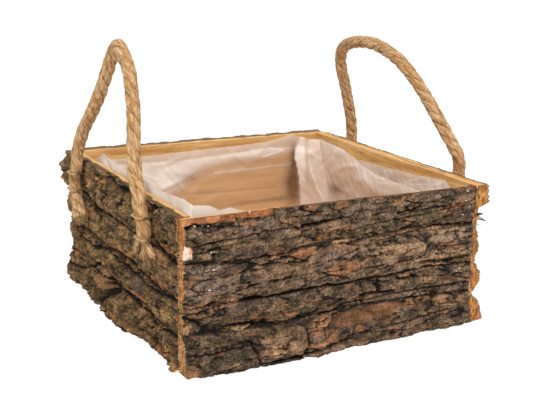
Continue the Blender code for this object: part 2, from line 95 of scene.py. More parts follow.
# Bends of some joints: shares of half the side along the wall and of the height
JOINT_BEND_SHARES = {
    ("front", 1): (
        (-1.00, 0.735), (-0.86, 0.727), (-0.62, 0.704), (-0.44, 0.710), (-0.28, 0.739),
        (-0.09, 0.752), (0.14, 0.747), (0.52, 0.779), (0.93, 0.739),
    ),
    ("front", 2): (
        (-1.00, 0.472), (-0.83, 0.450), (-0.54, 0.440), (-0.38, 0.439), (-0.10, 0.457),
        (0.05, 0.443), (0.26, 0.450), (0.56, 0.480), (0.93, 0.467),
    ),
    ("front", 3): (
        (-1.00, 0.269), (-0.77, 0.258), (-0.36, 0.262), (-0.21, 0.276), (0.00, 0.281),
        (0.40, 0.287), (0.93, 0.257),
    ),
    ("front", 4): ((-1.00, 0.000), (-0.30, 0.000), (0.40, 0.006), (0.70, 0.012), (0.93, 0.022)),
    ("left", 4): ((-1.00, 0.000), (0.15, 0.000), (0.50, 0.024), (0.70, 0.030), (0.93, 0.012)),
}

# Larger forms of the bark: place along and up a wall and half sizes, as shares of half the side
# and of the height, and lift, as a share of the bark
BARK_FORM_SHARES = {
    "front": (
        (-0.20, 0.53, 0.46, 0.06, 0.35),        # thick plates over the long ledge
        (-0.21, 0.42, 0.46, 0.04, -0.50),       # below the ledge
        (0.18, 0.42, 0.10, 0.05, -0.90),        # cavity right of it
        (-0.40, 0.14, 0.15, 0.10, 0.45),        # raised plate of the lowest slab
        (-0.25, 0.05, 0.04, 0.09, -0.60),       # gap beside that plate
        (0.17, 0.21, 0.25, 0.07, -0.40),        # patch where the outer bark is off
        (-0.84, 0.31, 0.15, 0.06, -1.10),       # hollow at the left end
        (-0.50, 0.69, 0.12, 0.04, -0.45),
        (-0.74, 0.98, 0.28, 0.04, -0.60),       # bark off at the rim
        (0.39, 0.62, 0.19, 0.07, 0.35),
        (-0.98, 0.79, 0.03, 0.05, 0.60),        # knob at the left end
        (-1.01, 0.45, 0.03, 0.26, -0.60),       # thin left end
        (-0.52, 0.03, 0.40, 0.08, 0.90),        # bulging foot
    ),
    "left": (
        (-0.98, 0.83, 0.07, 0.10, 1.70),        # knob at the rear end
        (-0.11, 0.95, 0.17, 0.05, -0.90),       # hollows under the rim
        (0.16, 0.95, 0.12, 0.04, -0.80),
        (0.64, 0.92, 0.05, 0.10, -0.80),
        (-0.16, 0.80, 0.36, 0.08, 0.40),
        (0.06, 0.47, 0.18, 0.04, -0.60),        # ledges along a joint
        (0.69, 0.50, 0.16, 0.04, -0.60),
        (0.73, 0.36, 0.16, 0.09, 0.55),
        (-0.42, 0.25, 0.22, 0.07, 0.60),
        (-0.08, 0.20, 0.09, 0.06, -1.30),       # hole
        (-0.06, 0.05, 0.36, 0.12, 0.85),        # bulging foot
        (0.62, 0.03, 0.24, 0.09, -0.80),        # and where it falls back
        (0.88, 0.11, 0.09, 0.07, -0.80),
    ),
    "right": (
        (-1.01, 0.93, 0.08, 0.07, 0.50),        # chipped front ends
        (-1.01, 0.79, 0.06, 0.06, -2.00),
        (-1.01, 0.60, 0.06, 0.14, -0.90),
        (-1.01, 0.23, 0.06, 0.06, -0.60),
        (-0.35, 0.62, 0.30, 0.08, 0.40),
        (0.35, 0.40, 0.30, 0.07, -0.50),
        (-0.10, 0.14, 0.25, 0.08, 0.45),
    ),
    "rear": (
        (0.45, 0.62, 0.30, 0.07, 0.45),
        (-0.30, 0.40, 0.35, 0.06, -0.50),
        (0.10, 0.85, 0.25, 0.06, -0.40),
        (-0.50, 0.12, 0.30, 0.08, 0.40),
        (0.52, 0.03, 0.40, 0.08, 0.90),
    ),
}

HANDLES = {
    "left": dict(
        out=-1, centre=0.0045, half=0.0795, rise=0.1085, lean=6.0,
        arch=(
            (1.0, 0.0), (0.95, 0.10), (0.81, 0.26), (0.55, 0.45), (0.345, 0.62), (0.195, 0.785),
            (0.045, 0.95), (-0.06, 1.0), (-0.18, 0.97), (-0.445, 0.84), (-0.56, 0.70),
            (-0.675, 0.535), (-0.735, 0.35), (-0.81, 0.175), (-0.91, 0.055), (-1.0, 0.0),
        ),
        rear=((0.0, 0.0), (0.0, 0.08), (0.11, 0.26), (0.22, 0.52), (0.08, 0.95), (-0.16, 1.28)),
        front=((0.0, 0.0), (0.0, 0.08), (0.12, 0.26), (0.26, 0.56), (0.34, 1.0)),
    ),
    "right": dict(
        out=1, centre=-0.001, half=0.0905, rise=0.1085, lean=20.0,
        arch=(
            (1.0, 0.0), (0.915, 0.195), (0.85, 0.48), (0.82, 0.69), (0.75, 0.83), (0.585, 0.94),
            (0.265, 1.0), (-0.055, 0.995), (-0.365, 0.905), (-0.565, 0.765), (-0.705, 0.61),
            (-0.82, 0.435), (-0.93, 0.265), (-1.02, 0.11), (-1.0, 0.0),
        ),
        rear=((0.0, 0.0), (0.0, 0.08), (-0.03, 0.5), (0.02, 1.0)),
        front=((0.0, 0.0), (0.0, 0.08), (0.06, 0.5), (0.10, 1.0)),
    ),
}

# Camera of the photograph: place in metres, angles in degrees, focal length in pixels
CAMERA_PLACE = np.array((-0.42034, -0.80011, 0.32147))
AZIMUTH, ELEVATION, ROLL, FOCAL = -28.347, 14.513, 1.140, 1015.28
PICTURE = (550, 412)


def camera_axes():
    az, el, roll = (math.radians(a) for a in (AZIMUTH, ELEVATION, ROLL))
    ahead = np.array((-math.sin(az) * math.cos(el), math.cos(az) * math.cos(el), -math.sin(el)))
    right = np.array((math.cos(az), math.sin(az), 0.0))
    up = np.cross(right, ahead)
    turned = math.cos(roll) * right + math.sin(roll) * up
    return turned, -math.sin(roll) * right + math.cos(roll) * up, ahead


RIGHT, UP, AHEAD = camera_axes()


def make_camera():
    data = bpy.data.cameras.new("camera")
    data.sensor_width = 36.0
    data.lens = FOCAL * data.sensor_width / PICTURE[0]
    data.clip_start, data.clip_end = 0.05, 50.0
    thing = bpy.data.objects.new("camera", data)
    turn = Matrix((RIGHT, UP, -AHEAD)).transposed().to_4x4()
    thing.matrix_world = Matrix.Translation(CAMERA_PLACE) @ turn
    bpy.context.scene.collection.objects.link(thing)
    bpy.context.scene.camera = thing


def in_photo(places):
    """Pixels of the photograph at which places are seen."""
    away = np.asarray(places) - CAMERA_PLACE
    depth = away @ AHEAD
    u = PICTURE[0] / 2 + FOCAL * (away @ RIGHT) / depth
    return u, PICTURE[1] / 2 - FOCAL * (away @ UP) / depth


def on_wall(wall, u, v):
    """Place along and up a wall, in mm in the wall's own frame, of a pixel of the photograph."""
    ray = AHEAD + (u - PICTURE[0] / 2) / FOCAL * RIGHT - (v - PICTURE[1] / 2) / FOCAL * UP
    plane = SIDE / 2 + BARK * 0.8
    axis = 1 if wall == "front" else 0
    place = CAMERA_PLACE + ray * (-plane - CAMERA_PLACE[axis]) / ray[axis]
    along = place[0] if wall == "front" else -place[1]
    return along / MM, place[2] / MM


# Noise on arrays

def scatter(ix, iy, seed):
    """A value from 0 to 1 for each cell of a lattice."""
    h = ix.astype(np.uint32) * np.uint32(374761393) + iy.astype(np.uint32) * np.uint32(668265263)
    h += np.uint32((seed * 2246822519 + 3266489917) & 0xFFFFFFFF)
    h = (h ^ (h >> np.uint32(13))) * np.uint32(1274126177)
    h = (h ^ (h >> np.uint32(15))) * np.uint32(2246822519)
    h = h ^ (h >> np.uint32(16))
    return h.astype(np.float64) / 4294967296.0


def perlin(x, y, seed, period=0):
    """Smooth noise, about -1 to 1. With a period, x repeats after that many cells."""
    x0, y0 = np.floor(x).astype(np.int64), np.floor(y).astype(np.int64)
    fx, fy = x - x0, y - y0
    ease_x, ease_y = (f * f * f * (f * (f * 6 - 15) + 10) for f in (fx, fy))

    def corner(i, j):
        ix = (x0 + i) % period if period else x0 + i
        turn = scatter(ix, y0 + j, seed) * 2 * math.pi
        return np.cos(turn) * (fx - i) + np.sin(turn) * (fy - j)

    low = corner(0, 0) * (1 - ease_x) + corner(1, 0) * ease_x
    high = corner(0, 1) * (1 - ease_x) + corner(1, 1) * ease_x
    return 1.5 * (low * (1 - ease_y) + high * ease_y)


def layers(x, y, count, seed):
    total, size = 0.0, 1.0
    for n in range(count):
        total += size * perlin(x * 2.03 ** n, y * 2.03 ** n, seed + 17 * n)
        size *= 0.5
    return total


# How far a cell's middle may lie off the middle of its square
CELL_JITTER = 0.85


def cells(x, y, seed):
    """Distance from the border between cells, and each cell's own value from 0 to 1."""
    x0, y0 = np.floor(x).astype(np.int64), np.floor(y).astype(np.int64)
    first, second = np.full(x.shape, 9.0), np.full(x.shape, 9.0)
    value = np.zeros(x.shape)
    for i in (-1, 0, 1):
        for j in (-1, 0, 1):
            cx, cy = x0 + i, y0 + j
            px = cx + 0.5 + CELL_JITTER * (scatter(cx, cy, seed) - 0.5)
            py = cy + 0.5 + CELL_JITTER * (scatter(cx, cy, seed + 101) - 0.5)
            d = np.hypot(px - x, py - y)
            nearer = d < first
            second = np.where(nearer, first, np.minimum(second, d))
            value = np.where(nearer, scatter(cx, cy, seed + 202), value)
            first = np.where(nearer, d, first)
    return second - first, value


def step(low, high, x):
    t = np.clip((x - low) / (high - low), 0.0, 1.0)
    return t * t * (3 - 2 * t)


def hump(away, width):
    """1 where a distance is 0, falling off on both sides over a width."""
    return np.exp(-(away / width) ** 2)


def blob(x, z, middle, half, tall, spread=1.0):
    """1 at a middle, falling off over half sizes along x and z."""
    return np.exp(
        -((x - middle[0]) / half / spread) ** 2 - ((z - middle[1]) / tall / spread) ** 2
    )


def ripple(x, length, seed, row=0.0):
    """Smooth noise along one direction, with waves of a length."""
    return perlin(x / length, x * 0 + row, seed)


def each(function, *arrays):
    """Values of a function at every place of arrays."""
    values = np.array([function(*place) for place in zip(*(a.ravel() for a in arrays))])
    return values.reshape(arrays[0].shape + values.shape[1:])


def unit(v):
    return v / np.maximum(np.linalg.norm(v, axis=-1, keepdims=True), 1e-12)


def wall_turn(wall):
    """Turn from the front wall's frame into that of a wall."""
    return np.array(Matrix.Rotation(math.radians(90) * WALLS.index(wall), 3, "Z"))


# Meshes

def new_mesh(name, verts, quads, extra=()):
    """A mesh from arrays: four-sided faces, and a few faces of any number of sides."""
    mesh = bpy.data.meshes.new(name)
    mesh.vertices.add(len(verts))
    mesh.vertices.foreach_set("co", np.asarray(verts, np.float32).ravel())
    quads = np.asarray(quads, np.int32).reshape(-1, 4)
    loops = np.concatenate([quads.ravel(), *[np.asarray(e, np.int32) for e in extra]])
    starts = list(range(0, 4 * len(quads), 4))
    at = 4 * len(quads)
    for e in extra:
        starts.append(at)
        at += len(e)
    mesh.loops.add(len(loops))
    mesh.loops.foreach_set("vertex_index", loops.astype(np.int32))
    mesh.polygons.add(len(starts))
    mesh.polygons.foreach_set("loop_start", np.array(starts, np.int32))
    mesh.update(calc_edges=True)
    mesh.validate()
    return mesh


def paint(mesh, name, values):
    """Stores a value, or three, at each point."""
    values = np.asarray(values, np.float32)
    if values.ndim == 1:
        attribute = mesh.attributes.new(name, "FLOAT", "POINT")
        attribute.data.foreach_set("value", values)
    else:
        attribute = mesh.attributes.new(name, "FLOAT_VECTOR", "POINT")
        attribute.data.foreach_set("vector", values.ravel())


def add(name, mesh, material, body=None, sharp=None):
    thing = bpy.data.objects.new(name, mesh)
    bpy.context.scene.collection.objects.link(thing)
    if material is not None:
        mesh.materials.append(material)
    mesh.shade_smooth()
    if sharp:
        mesh.set_sharp_from_angle(angle=math.radians(sharp))
    if body:
        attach(thing, body)
    return thing


def grid_quads(index):
    """Faces of a two-dimensional array of point numbers."""
    return np.stack(
        [index[:-1, :-1], index[1:, :-1], index[1:, 1:], index[:-1, 1:]], axis=-1
    ).reshape(-1, 4)


def wrap(index, axis=1):
    """Point numbers with the first row or column again at the end."""
    return np.concatenate([index, np.take(index, [0], axis)], axis)


def join(sets):
    """Several sets of points and faces as one."""
    starts = np.cumsum([0, *(len(verts) for verts, _ in sets)])
    verts = np.concatenate([verts for verts, _ in sets])
    return verts, np.concatenate([quads + at for (_, quads), at in zip(sets, starts)])


HAIR_RINGS = 4


def hairs(roots, directions, lengths, radii, seed, bend):
    """Thin tapered three-sided fibres, as points and faces."""
    rng = np.random.default_rng(seed)
    ahead = unit(directions)
    side = rng.normal(size=ahead.shape)
    side = unit(side - (side * ahead).sum(1, keepdims=True) * ahead)
    other = np.cross(ahead, side)
    t = np.linspace(0, 1, HAIR_RINGS)
    bow = (bend * rng.uniform(-1, 1, len(roots)) * lengths)[:, None] * t ** 2
    middle = roots[:, None] + (lengths[:, None] * t)[..., None] * ahead[:, None]
    middle += bow[..., None] * side[:, None]
    thick = radii[:, None] * (1 - 0.8 * t)
    turns = np.array([0, 2, 4]) * math.pi / 3
    across = np.cos(turns)[:, None] * side[:, None] + np.sin(turns)[:, None] * other[:, None]
    verts = middle[:, :, None] + thick[:, :, None, None] * across[:, None]
    index = wrap(np.arange(verts.size // 3).reshape(len(roots), HAIR_RINGS, 3), 2)
    quads = np.stack(
        [index[:, :-1, :-1], index[:, :-1, 1:], index[:, 1:, 1:], index[:, 1:, :-1]], axis=-1
    )
    return verts.reshape(-1, 3), quads.reshape(-1, 4)


# Materials

class Graph:
    """Nodes of a material or of the world, built from short calls."""

    def __init__(self, owner):
        owner.use_nodes = True
        self.owner = owner
        self.tree = owner.node_tree

    def put(self, socket, value):
        if isinstance(value, bpy.types.NodeSocket):
            self.tree.links.new(value, socket)
        elif isinstance(value, tuple) and len(value) == 3 and socket.type == "RGBA":
            socket.default_value = (*value, 1.0)
        else:
            socket.default_value = value

    def node(self, kind, out=0, at=None, **inputs):
        """A node's output. Inputs are named, or numbered as i0, i1 and so on."""
        made = self.tree.nodes.new("ShaderNode" + kind)
        for name, value in (at or {}).items():
            setattr(made, name, value)
        for name, value in inputs.items():
            by_number = name[0] == "i" and name[1:].isdigit()
            key = int(name[1:]) if by_number else name.replace("_", " ")
            self.put(made.inputs[key], value)
        return made.outputs[out]

    def attribute(self, name):
        return self.node("Attribute", "Vector", at=dict(attribute_name=name))

    def split(self, vector):
        made = self.tree.nodes.new("ShaderNodeSeparateXYZ")
        self.put(made.inputs[0], vector)
        return made.outputs

    def place(self, scale=(1, 1, 1), vector=None):
        vector = vector or self.node("TexCoord", "Object")
        return self.node("Mapping", Vector=vector, Scale=scale)

    def noise(self, vector, scale, detail=2.0, rough=0.5, distortion=0.0):
        return self.node(
            "TexNoise", "Fac", Vector=vector, Scale=scale, Detail=detail,
            Roughness=rough, Distortion=distortion,
        )

    def cracks(self, vector, scale):
        """Distance from the lines between cells."""
        edges = dict(feature="DISTANCE_TO_EDGE")
        return self.node("TexVoronoi", "Distance", at=edges, Vector=vector, Scale=scale)

    def vector_maths(self, operation, a, b):
        return self.node("VectorMath", at=dict(operation=operation), i0=a, i1=b)

    def warped(self, vector, scale, reach):
        """A place pushed about by noise, so that lines through it wander."""
        push = self.node("TexNoise", "Color", Vector=vector, Scale=scale, Detail=2.0)
        push = self.vector_maths("SUBTRACT", push, (0.5, 0.5, 0.5))
        push = self.vector_maths("MULTIPLY", push, (reach, reach, reach))
        return self.vector_maths("ADD", vector, push)

    def range(self, value, low, high, to_low=0.0, to_high=1.0):
        return self.node("MapRange", i0=value, i1=low, i2=high, i3=to_low, i4=to_high)

    def maths(self, operation, a, b=0.0, clamp=False):
        return self.node("Math", at=dict(operation=operation, use_clamp=clamp), i0=a, i1=b)

    def plus(self, a, b, clamp=False):
        return self.maths("ADD", a, b, clamp)

    def times(self, a, b, clamp=False):
        return self.maths("MULTIPLY", a, b, clamp)

    def mix(self, a, b, amount, blend="MIX"):
        at = dict(data_type="RGBA", blend_type=blend)
        return self.node("Mix", 2, at=at, i0=amount, i6=a, i7=b)

    def tint(self, colour, *tints):
        """Mixes a colour towards others in turn, each with its share."""
        for towards, share in tints:
            colour = self.mix(colour, towards, share)
        return colour

    def weigh(self, colour, value, amount=1.0):
        """A colour multiplied by a value."""
        grey = self.node("CombineColor", i0=value, i1=value, i2=value)
        return self.mix(colour, grey, amount, "MULTIPLY")

    def bump(self, height, strength, distance):
        return self.node("Bump", Height=height, Strength=strength, Distance=distance)


class Material(Graph):
    """A material around one shader."""

    def __init__(self, name):
        super().__init__(bpy.data.materials.new(name))
        self.shader = self.tree.nodes["Principled BSDF"]

    def finish(self, colour, roughness, bump=None, specular=0.25):
        self.put(self.shader.inputs["Base Color"], colour)
        self.put(self.shader.inputs["Roughness"], roughness)
        self.put(self.shader.inputs["Specular IOR Level"], specular)
        if bump is not None:
            self.put(self.shader.inputs["Normal"], bump)
        return self.owner


def wood_colour(g, grain):
    """Sawn wood: pale and orange bands, brown streaks and thin dark lines along the grain."""
    near = tuple(0.07 if n == grain else 1.0 for n in range(3))
    far = g.place(tuple(0.5 * n for n in near))
    bands = g.noise(far, 260.0, 3.0, 0.55, 0.6)
    lines = g.noise(g.place(near), 900.0, 3.0, 0.6)
    streaks = g.noise(far, 120.0, 4.0, 0.6, 1.2)
    wood = g.mix((0.62, 0.315, 0.100), (0.88, 0.56, 0.235), g.range(bands, 0.38, 0.62))
    wood = g.tint(
        wood,
        ((0.94, 0.70, 0.39), g.range(streaks, 0.56, 0.70, 0.0, 0.6)),
        ((0.34, 0.140, 0.04), g.range(lines, 0.54, 0.70, 0.0, 0.75)),
        ((0.24, 0.10, 0.035), g.range(streaks, 0.42, 0.30, 0.0, 0.75)),
    )
    return wood, lines


def sawn_wood(name, grain):
    """Wood of the posts, boards and battens."""
    g = Material(name)
    colour, lines = wood_colour(g, grain)
    saw = g.noise(g.place(), 600.0, 2.0)
    return g.finish(colour, 0.72, g.bump(g.plus(lines, g.times(saw, 0.4)), 0.5, 0.0005))


# Looks of the bark: darkest and lightest colour, colour of the grit, how dark and bright its
# specks are, how much crackle it has, and how dark and bright its tone makes it
SHADED_BARK = dict(
    dark=(0.048, 0.029, 0.016), light=(0.255, 0.150, 0.084), grit=(0.44, 0.36, 0.28),
    specks=(0.22, 1.86), crackle=0.55, tones=(0.60, 1.25),
)
BARK_LOOKS = {
    "front": SHADED_BARK,
    "right": SHADED_BARK,
    "rear": SHADED_BARK,
    "left": dict(
        dark=(0.070, 0.040, 0.016), light=(0.420, 0.235, 0.088), grit=(0.46, 0.35, 0.20),
        specks=(0.36, 1.66), crackle=0.25, tones=(0.80, 1.11),
    ),
}


def crackled(g, here, red, most):
    """Fine cracks between crumbs of bark, for the bump and for painted shade in them: in patches,
    and few on the red inner bark.
    """
    lines = g.range(g.cracks(g.warped(here, 300.0, 0.0016), 260.0), 0.025, 0.085, 0.62, 0.0)
    patches = g.range(g.noise(here, 95.0, 2.0, 0.5), 0.42, 0.56, 0.0, most)
    return g.times(g.times(lines, patches), g.range(red, 0.2, 0.7, 1.0, 0.25))


def rear_wood(g, wood, coarse):
    """The rear wall's inside: calmer under its rim, with the dark joint seen behind the film."""
    x, _, z = g.split(g.place())
    line = g.maths("SUBTRACT", z, g.plus(g.times(x, 0.025), 0.0535))
    line = g.range(g.maths("ABSOLUTE", line), 0.0006, 0.0034, 0.75, 0.0)
    line = g.times(line, g.range(x, 0.010, 0.070))
    return g.tint(
        wood,
        ((0.76, 0.45, 0.190), g.range(z, 0.113, 0.108, 0.0, 0.5)),
        ((0.20, 0.085, 0.03), g.times(line, g.range(coarse, 0.3, 0.6, 0.5, 1.0))),
    )


def slab_wood(g, wall, grain, coarse, at_end, cavity_shade):
    """Sawn wood of a slab's back and edges, with end grain at its ends and painted shade in the
    joints.
    """
    wood, _ = wood_colour(g, grain)
    if wall == "rear":
        wood = rear_wood(g, wood, coarse)
    streak = g.range(g.noise(g.place((1, 1, 0.4)), 420.0, 3.0), 0.38, 0.66)
    end_grain = g.mix(wood, (0.95, 0.68, 0.44), 1.0, "MULTIPLY")
    end_grain = g.mix((0.20, 0.085, 0.028), end_grain, streak)
    # End grain at the ends, and painted shade on the faces in the joints
    return g.tint(wood, (end_grain, at_end), ((0.012, 0.008, 0.005), cavity_shade))


def bark_material(wall, grain):
    """Bark with its cracks, patches of inner bark and moss tint, painted shade in its dips, and the
    sawn wood beside it.
    """
    g = Material(f"bark_{wall}")
    look = BARK_LOOKS[wall]
    cavity_shade, tone, red = g.split(g.attribute("bark_map"))
    tan, green, bark = g.split(g.attribute("bark_more"))
    here = g.place()
    coarse = g.noise(here, 110.0, 4.0, 0.6)
    fine = g.noise(here, 620.0, 4.0, 0.68)
    wrinkles = g.noise(g.place((1, 1, 0.30)), 800.0, 2.0, 0.5)
    grit = g.noise(here, 1150.0, 2.0, 0.6)
    crackle = crackled(g, here, red, look["crackle"])
    uneven = g.range(fine, 0.30, 0.60, 0.55, 1.0)
    light = g.plus(tone, g.range(coarse, 0.3, 0.7, -0.30, 0.30), clamp=True)
    warm = g.range(g.noise(here, 42.0, 1.5, 0.5), 0.48, 0.66, 0.0, 0.50)
    mauve = g.times(g.range(green, 0.5, 0.0, 0.0, 0.75), g.range(coarse, 0.3, 0.6, 0.5, 1.0))
    olive = g.times(g.range(green, 0.5, 1.0, 0.0, 0.60), g.range(coarse, 0.35, 0.65, 0.25, 1.0))
    colour = g.tint(
        look["dark"],
        (look["light"], light),
        ((0.175, 0.092, 0.052), warm),
        ((0.200, 0.142, 0.108), mauve),
        ((0.165, 0.122, 0.046), olive),
    )
    blotches = g.range(g.noise(here, 75.0, 2.0, 0.5), 0.38, 0.60, 0.45, 1.0)
    colour = g.weigh(colour, g.range(fine, 0.32, 0.68, *look["specks"]), blotches)
    # Red and tan inner bark, then painted shade in the fine cracks
    colour = g.tint(
        colour,
        ((0.40, 0.135, 0.048), g.times(red, uneven)),
        ((0.44, 0.255, 0.125), g.times(tan, uneven)),
        ((0.020, 0.013, 0.009), crackle),
    )
    colour = g.weigh(colour, g.range(wrinkles, 0.32, 0.68, 0.68, 1.32))
    pale = g.times(g.range(grit, 0.57, 0.67), g.range(red, 0.2, 0.4, 0.75, 0.25))
    colour = g.mix(colour, look["grit"], pale)
    colour = g.weigh(colour, g.range(tone, 0.0, 0.65, *look["tones"]))
    # Painted shade in cracks, dips and joints, and under the slabs' lips
    colour = g.mix(colour, (0.011, 0.008, 0.006), cavity_shade)
    edge = g.plus(bark, g.range(coarse, 0.3, 0.7, -0.22, 0.22))
    wood = slab_wood(g, wall, grain, coarse, tone, cavity_shade)
    colour = g.mix(wood, colour, g.range(edge, 0.45, 0.55))
    height = g.plus(g.plus(fine, g.times(wrinkles, 0.7)), g.times(grit, 0.4))
    height = g.maths("SUBTRACT", height, g.times(crackle, 0.9))
    return g.finish(colour, 0.92, g.bump(height, 0.8, 0.0007), 0.15)


def rope_material():
    """Jute: fibres along the yarns, with painted shade between the strands and where the yarns
    sink.
    """
    g = Material("jute_rope")
    groove_shade, yarn, _ = g.split(g.attribute("rope_map"))
    along = g.attribute("rope_fibre")
    fibres = g.noise(g.place((1, 1, 0.09), along), 1050.0, 3.0, 0.7)
    tufts = g.noise(g.place((1, 1, 0.35), along), 330.0, 3.0, 0.65)
    slow = g.noise(g.place((1, 1, 1), along), 60.0, 3.0, 0.6)
    colour = g.tint(
        (0.20, 0.100, 0.040),
        ((0.74, 0.46, 0.215), g.range(fibres, 0.34, 0.60)),
        ((0.84, 0.61, 0.36), g.range(tufts, 0.52, 0.68, 0.0, 0.7)),
        ((0.17, 0.080, 0.030), g.range(tufts, 0.46, 0.33, 0.0, 0.75)),
        ((0.52, 0.25, 0.10), g.range(slow, 0.48, 0.66, 0.0, 0.55)),
        ((0.78, 0.50, 0.33), g.range(slow, 0.48, 0.34, 0.0, 0.45)),
        # Painted shade where the yarns sink and between the strands
        ((0.22, 0.11, 0.04), g.times(yarn, 0.4)),
        ((0.135, 0.062, 0.022), g.times(groove_shade, g.range(slow, 0.36, 0.62, 1.0, 0.45))),
    )
    return g.finish(colour, 0.9, g.bump(g.plus(fibres, g.times(tufts, 0.8)), 1.0, 0.0011), 0.12)


def fibre_material(name, pale, dark):
    """Loose fibres and splinters, pale and dark by turns."""
    g = Material(name)
    shade = g.range(g.noise(g.place(), 160.0, 2.0), 0.35, 0.6)
    return g.finish(g.mix(dark, pale, shade), 0.85, None, 0.15)


def pale_wood_material():
    """Fresh pinkish wood of a torn knot, orange in patches."""
    g = Material("pale_wood")
    grain = g.noise(g.place((1, 1, 0.4)), 420.0, 3.0, 0.6)
    patch = g.noise(g.place(), 170.0, 2.0)
    colour = g.tint(
        (0.60, 0.33, 0.16),
        ((0.86, 0.66, 0.54), g.range(patch, 0.38, 0.56)),
        ((0.36, 0.15, 0.06), g.range(grain, 0.50, 0.36, 0.0, 0.6)),
    )
    return g.finish(colour, 0.8, g.bump(grain, 0.6, 0.0006), 0.2)


def film_material():
    """Thin milky film: nearly clear where it lies single, whiter where it is double, denser and
    darker where shade is painted on it.
    """
    g = Material("milky_film")
    cover, crease_and_painted_light, shade = g.split(g.attribute("film_map"))
    soft = g.noise(g.place((1, 1, 2.0)), 26.0, 2.0, 0.5, 0.6)
    alpha = g.plus(cover, g.range(soft, 0.35, 0.65, -0.05, 0.05))
    alpha = g.plus(alpha, g.times(crease_and_painted_light, 0.45))
    # Painted shade makes the film denser here and darker below; painted light whitens it together
    # with the creases
    alpha = g.plus(alpha, g.times(shade, 0.6), clamp=True)
    colour = g.tint(
        (0.72, 0.53, 0.39),
        ((0.92, 0.83, 0.75), g.range(cover, 0.35, 0.85)),
        ((0.97, 0.93, 0.89), crease_and_painted_light),
        ((0.16, 0.085, 0.045), g.times(shade, 1.4, clamp=True)),
    )
    g.put(g.shader.inputs["Alpha"], alpha)
    return g.finish(colour, 0.36, g.bump(soft, 0.15, 0.002), 0.45)


def wire_material(name, dark, light, over_rope=False):
    """Staple wire: bright or dark, and the colour of the rope where it lies over a rope."""
    g = Material(name)
    if over_rope:
        x, _, _ = g.split(g.place())
        far_out = g.range(g.maths("ABSOLUTE", x), ROPE_LINE + 0.5 * MM, ROPE_LINE + 3.0 * MM)
        light = g.mix(light, (0.56, 0.34, 0.16), far_out)
        dark = g.mix(dark, (0.40, 0.24, 0.11), far_out)
    worn = g.range(g.noise(g.place(), 500.0, 3.0), 0.4, 0.6)
    return g.finish(g.mix(dark, light, worn), 0.6, None, 0.4)


# Bark

def polyline_distance(x, z, points):
    best = np.full(x.shape, 1e6)
    for (ax, az), (bx, bz) in zip(points, points[1:]):
        dx, dz = bx - ax, bz - az
        t = np.clip(((x - ax) * dx + (z - az) * dz) / max(dx * dx + dz * dz, 1e-9), 0, 1)
        best = np.minimum(best, np.hypot(x - ax - t * dx, z - az - t * dz))
    return best


# Bark left off the front rim, between two pixels of the photograph
BARE_RIM_START = (184, 219)
BARE_RIM_STOP = (275.5, 212)

# How high the bark's ragged lip stands over the wood at each wall's rim, in mm
RIM_LIPS = {"front": 1.6, "right": 0.3, "rear": 1.5, "left": 1.1}
# How far the bark reaches in over the wood at each wall's rim, in mm
RIM_BARK = {"front": 8.8, "right": -0.5, "rear": 5.0, "left": 5.0}
# Shares of red and of tan inner bark where the bark is cut at a rim or an end
CUT_BARK = {"front": (0.5, 0.30), "right": (0.75, 0.45), "rear": (0.60, 0.85), "left": (0.10, 0.15)}
# How far the sawn wood of each wall's ends reaches out into the bark, in mm
END_WOOD = {"front": 2.0, "right": 3.2, "rear": 1.0, "left": 0.0}
# How far the joints of the front wall open at its left end, in mm
OPEN_JOINTS = (0.0, 1.5, 0.5, 0.7, 0.0)
# How far each wall's rim falls from its bark to its inner edge, in mm
RIM_FALLS = {"front": 1.5, "right": 0.0, "rear": 0.2, "left": 0.9}

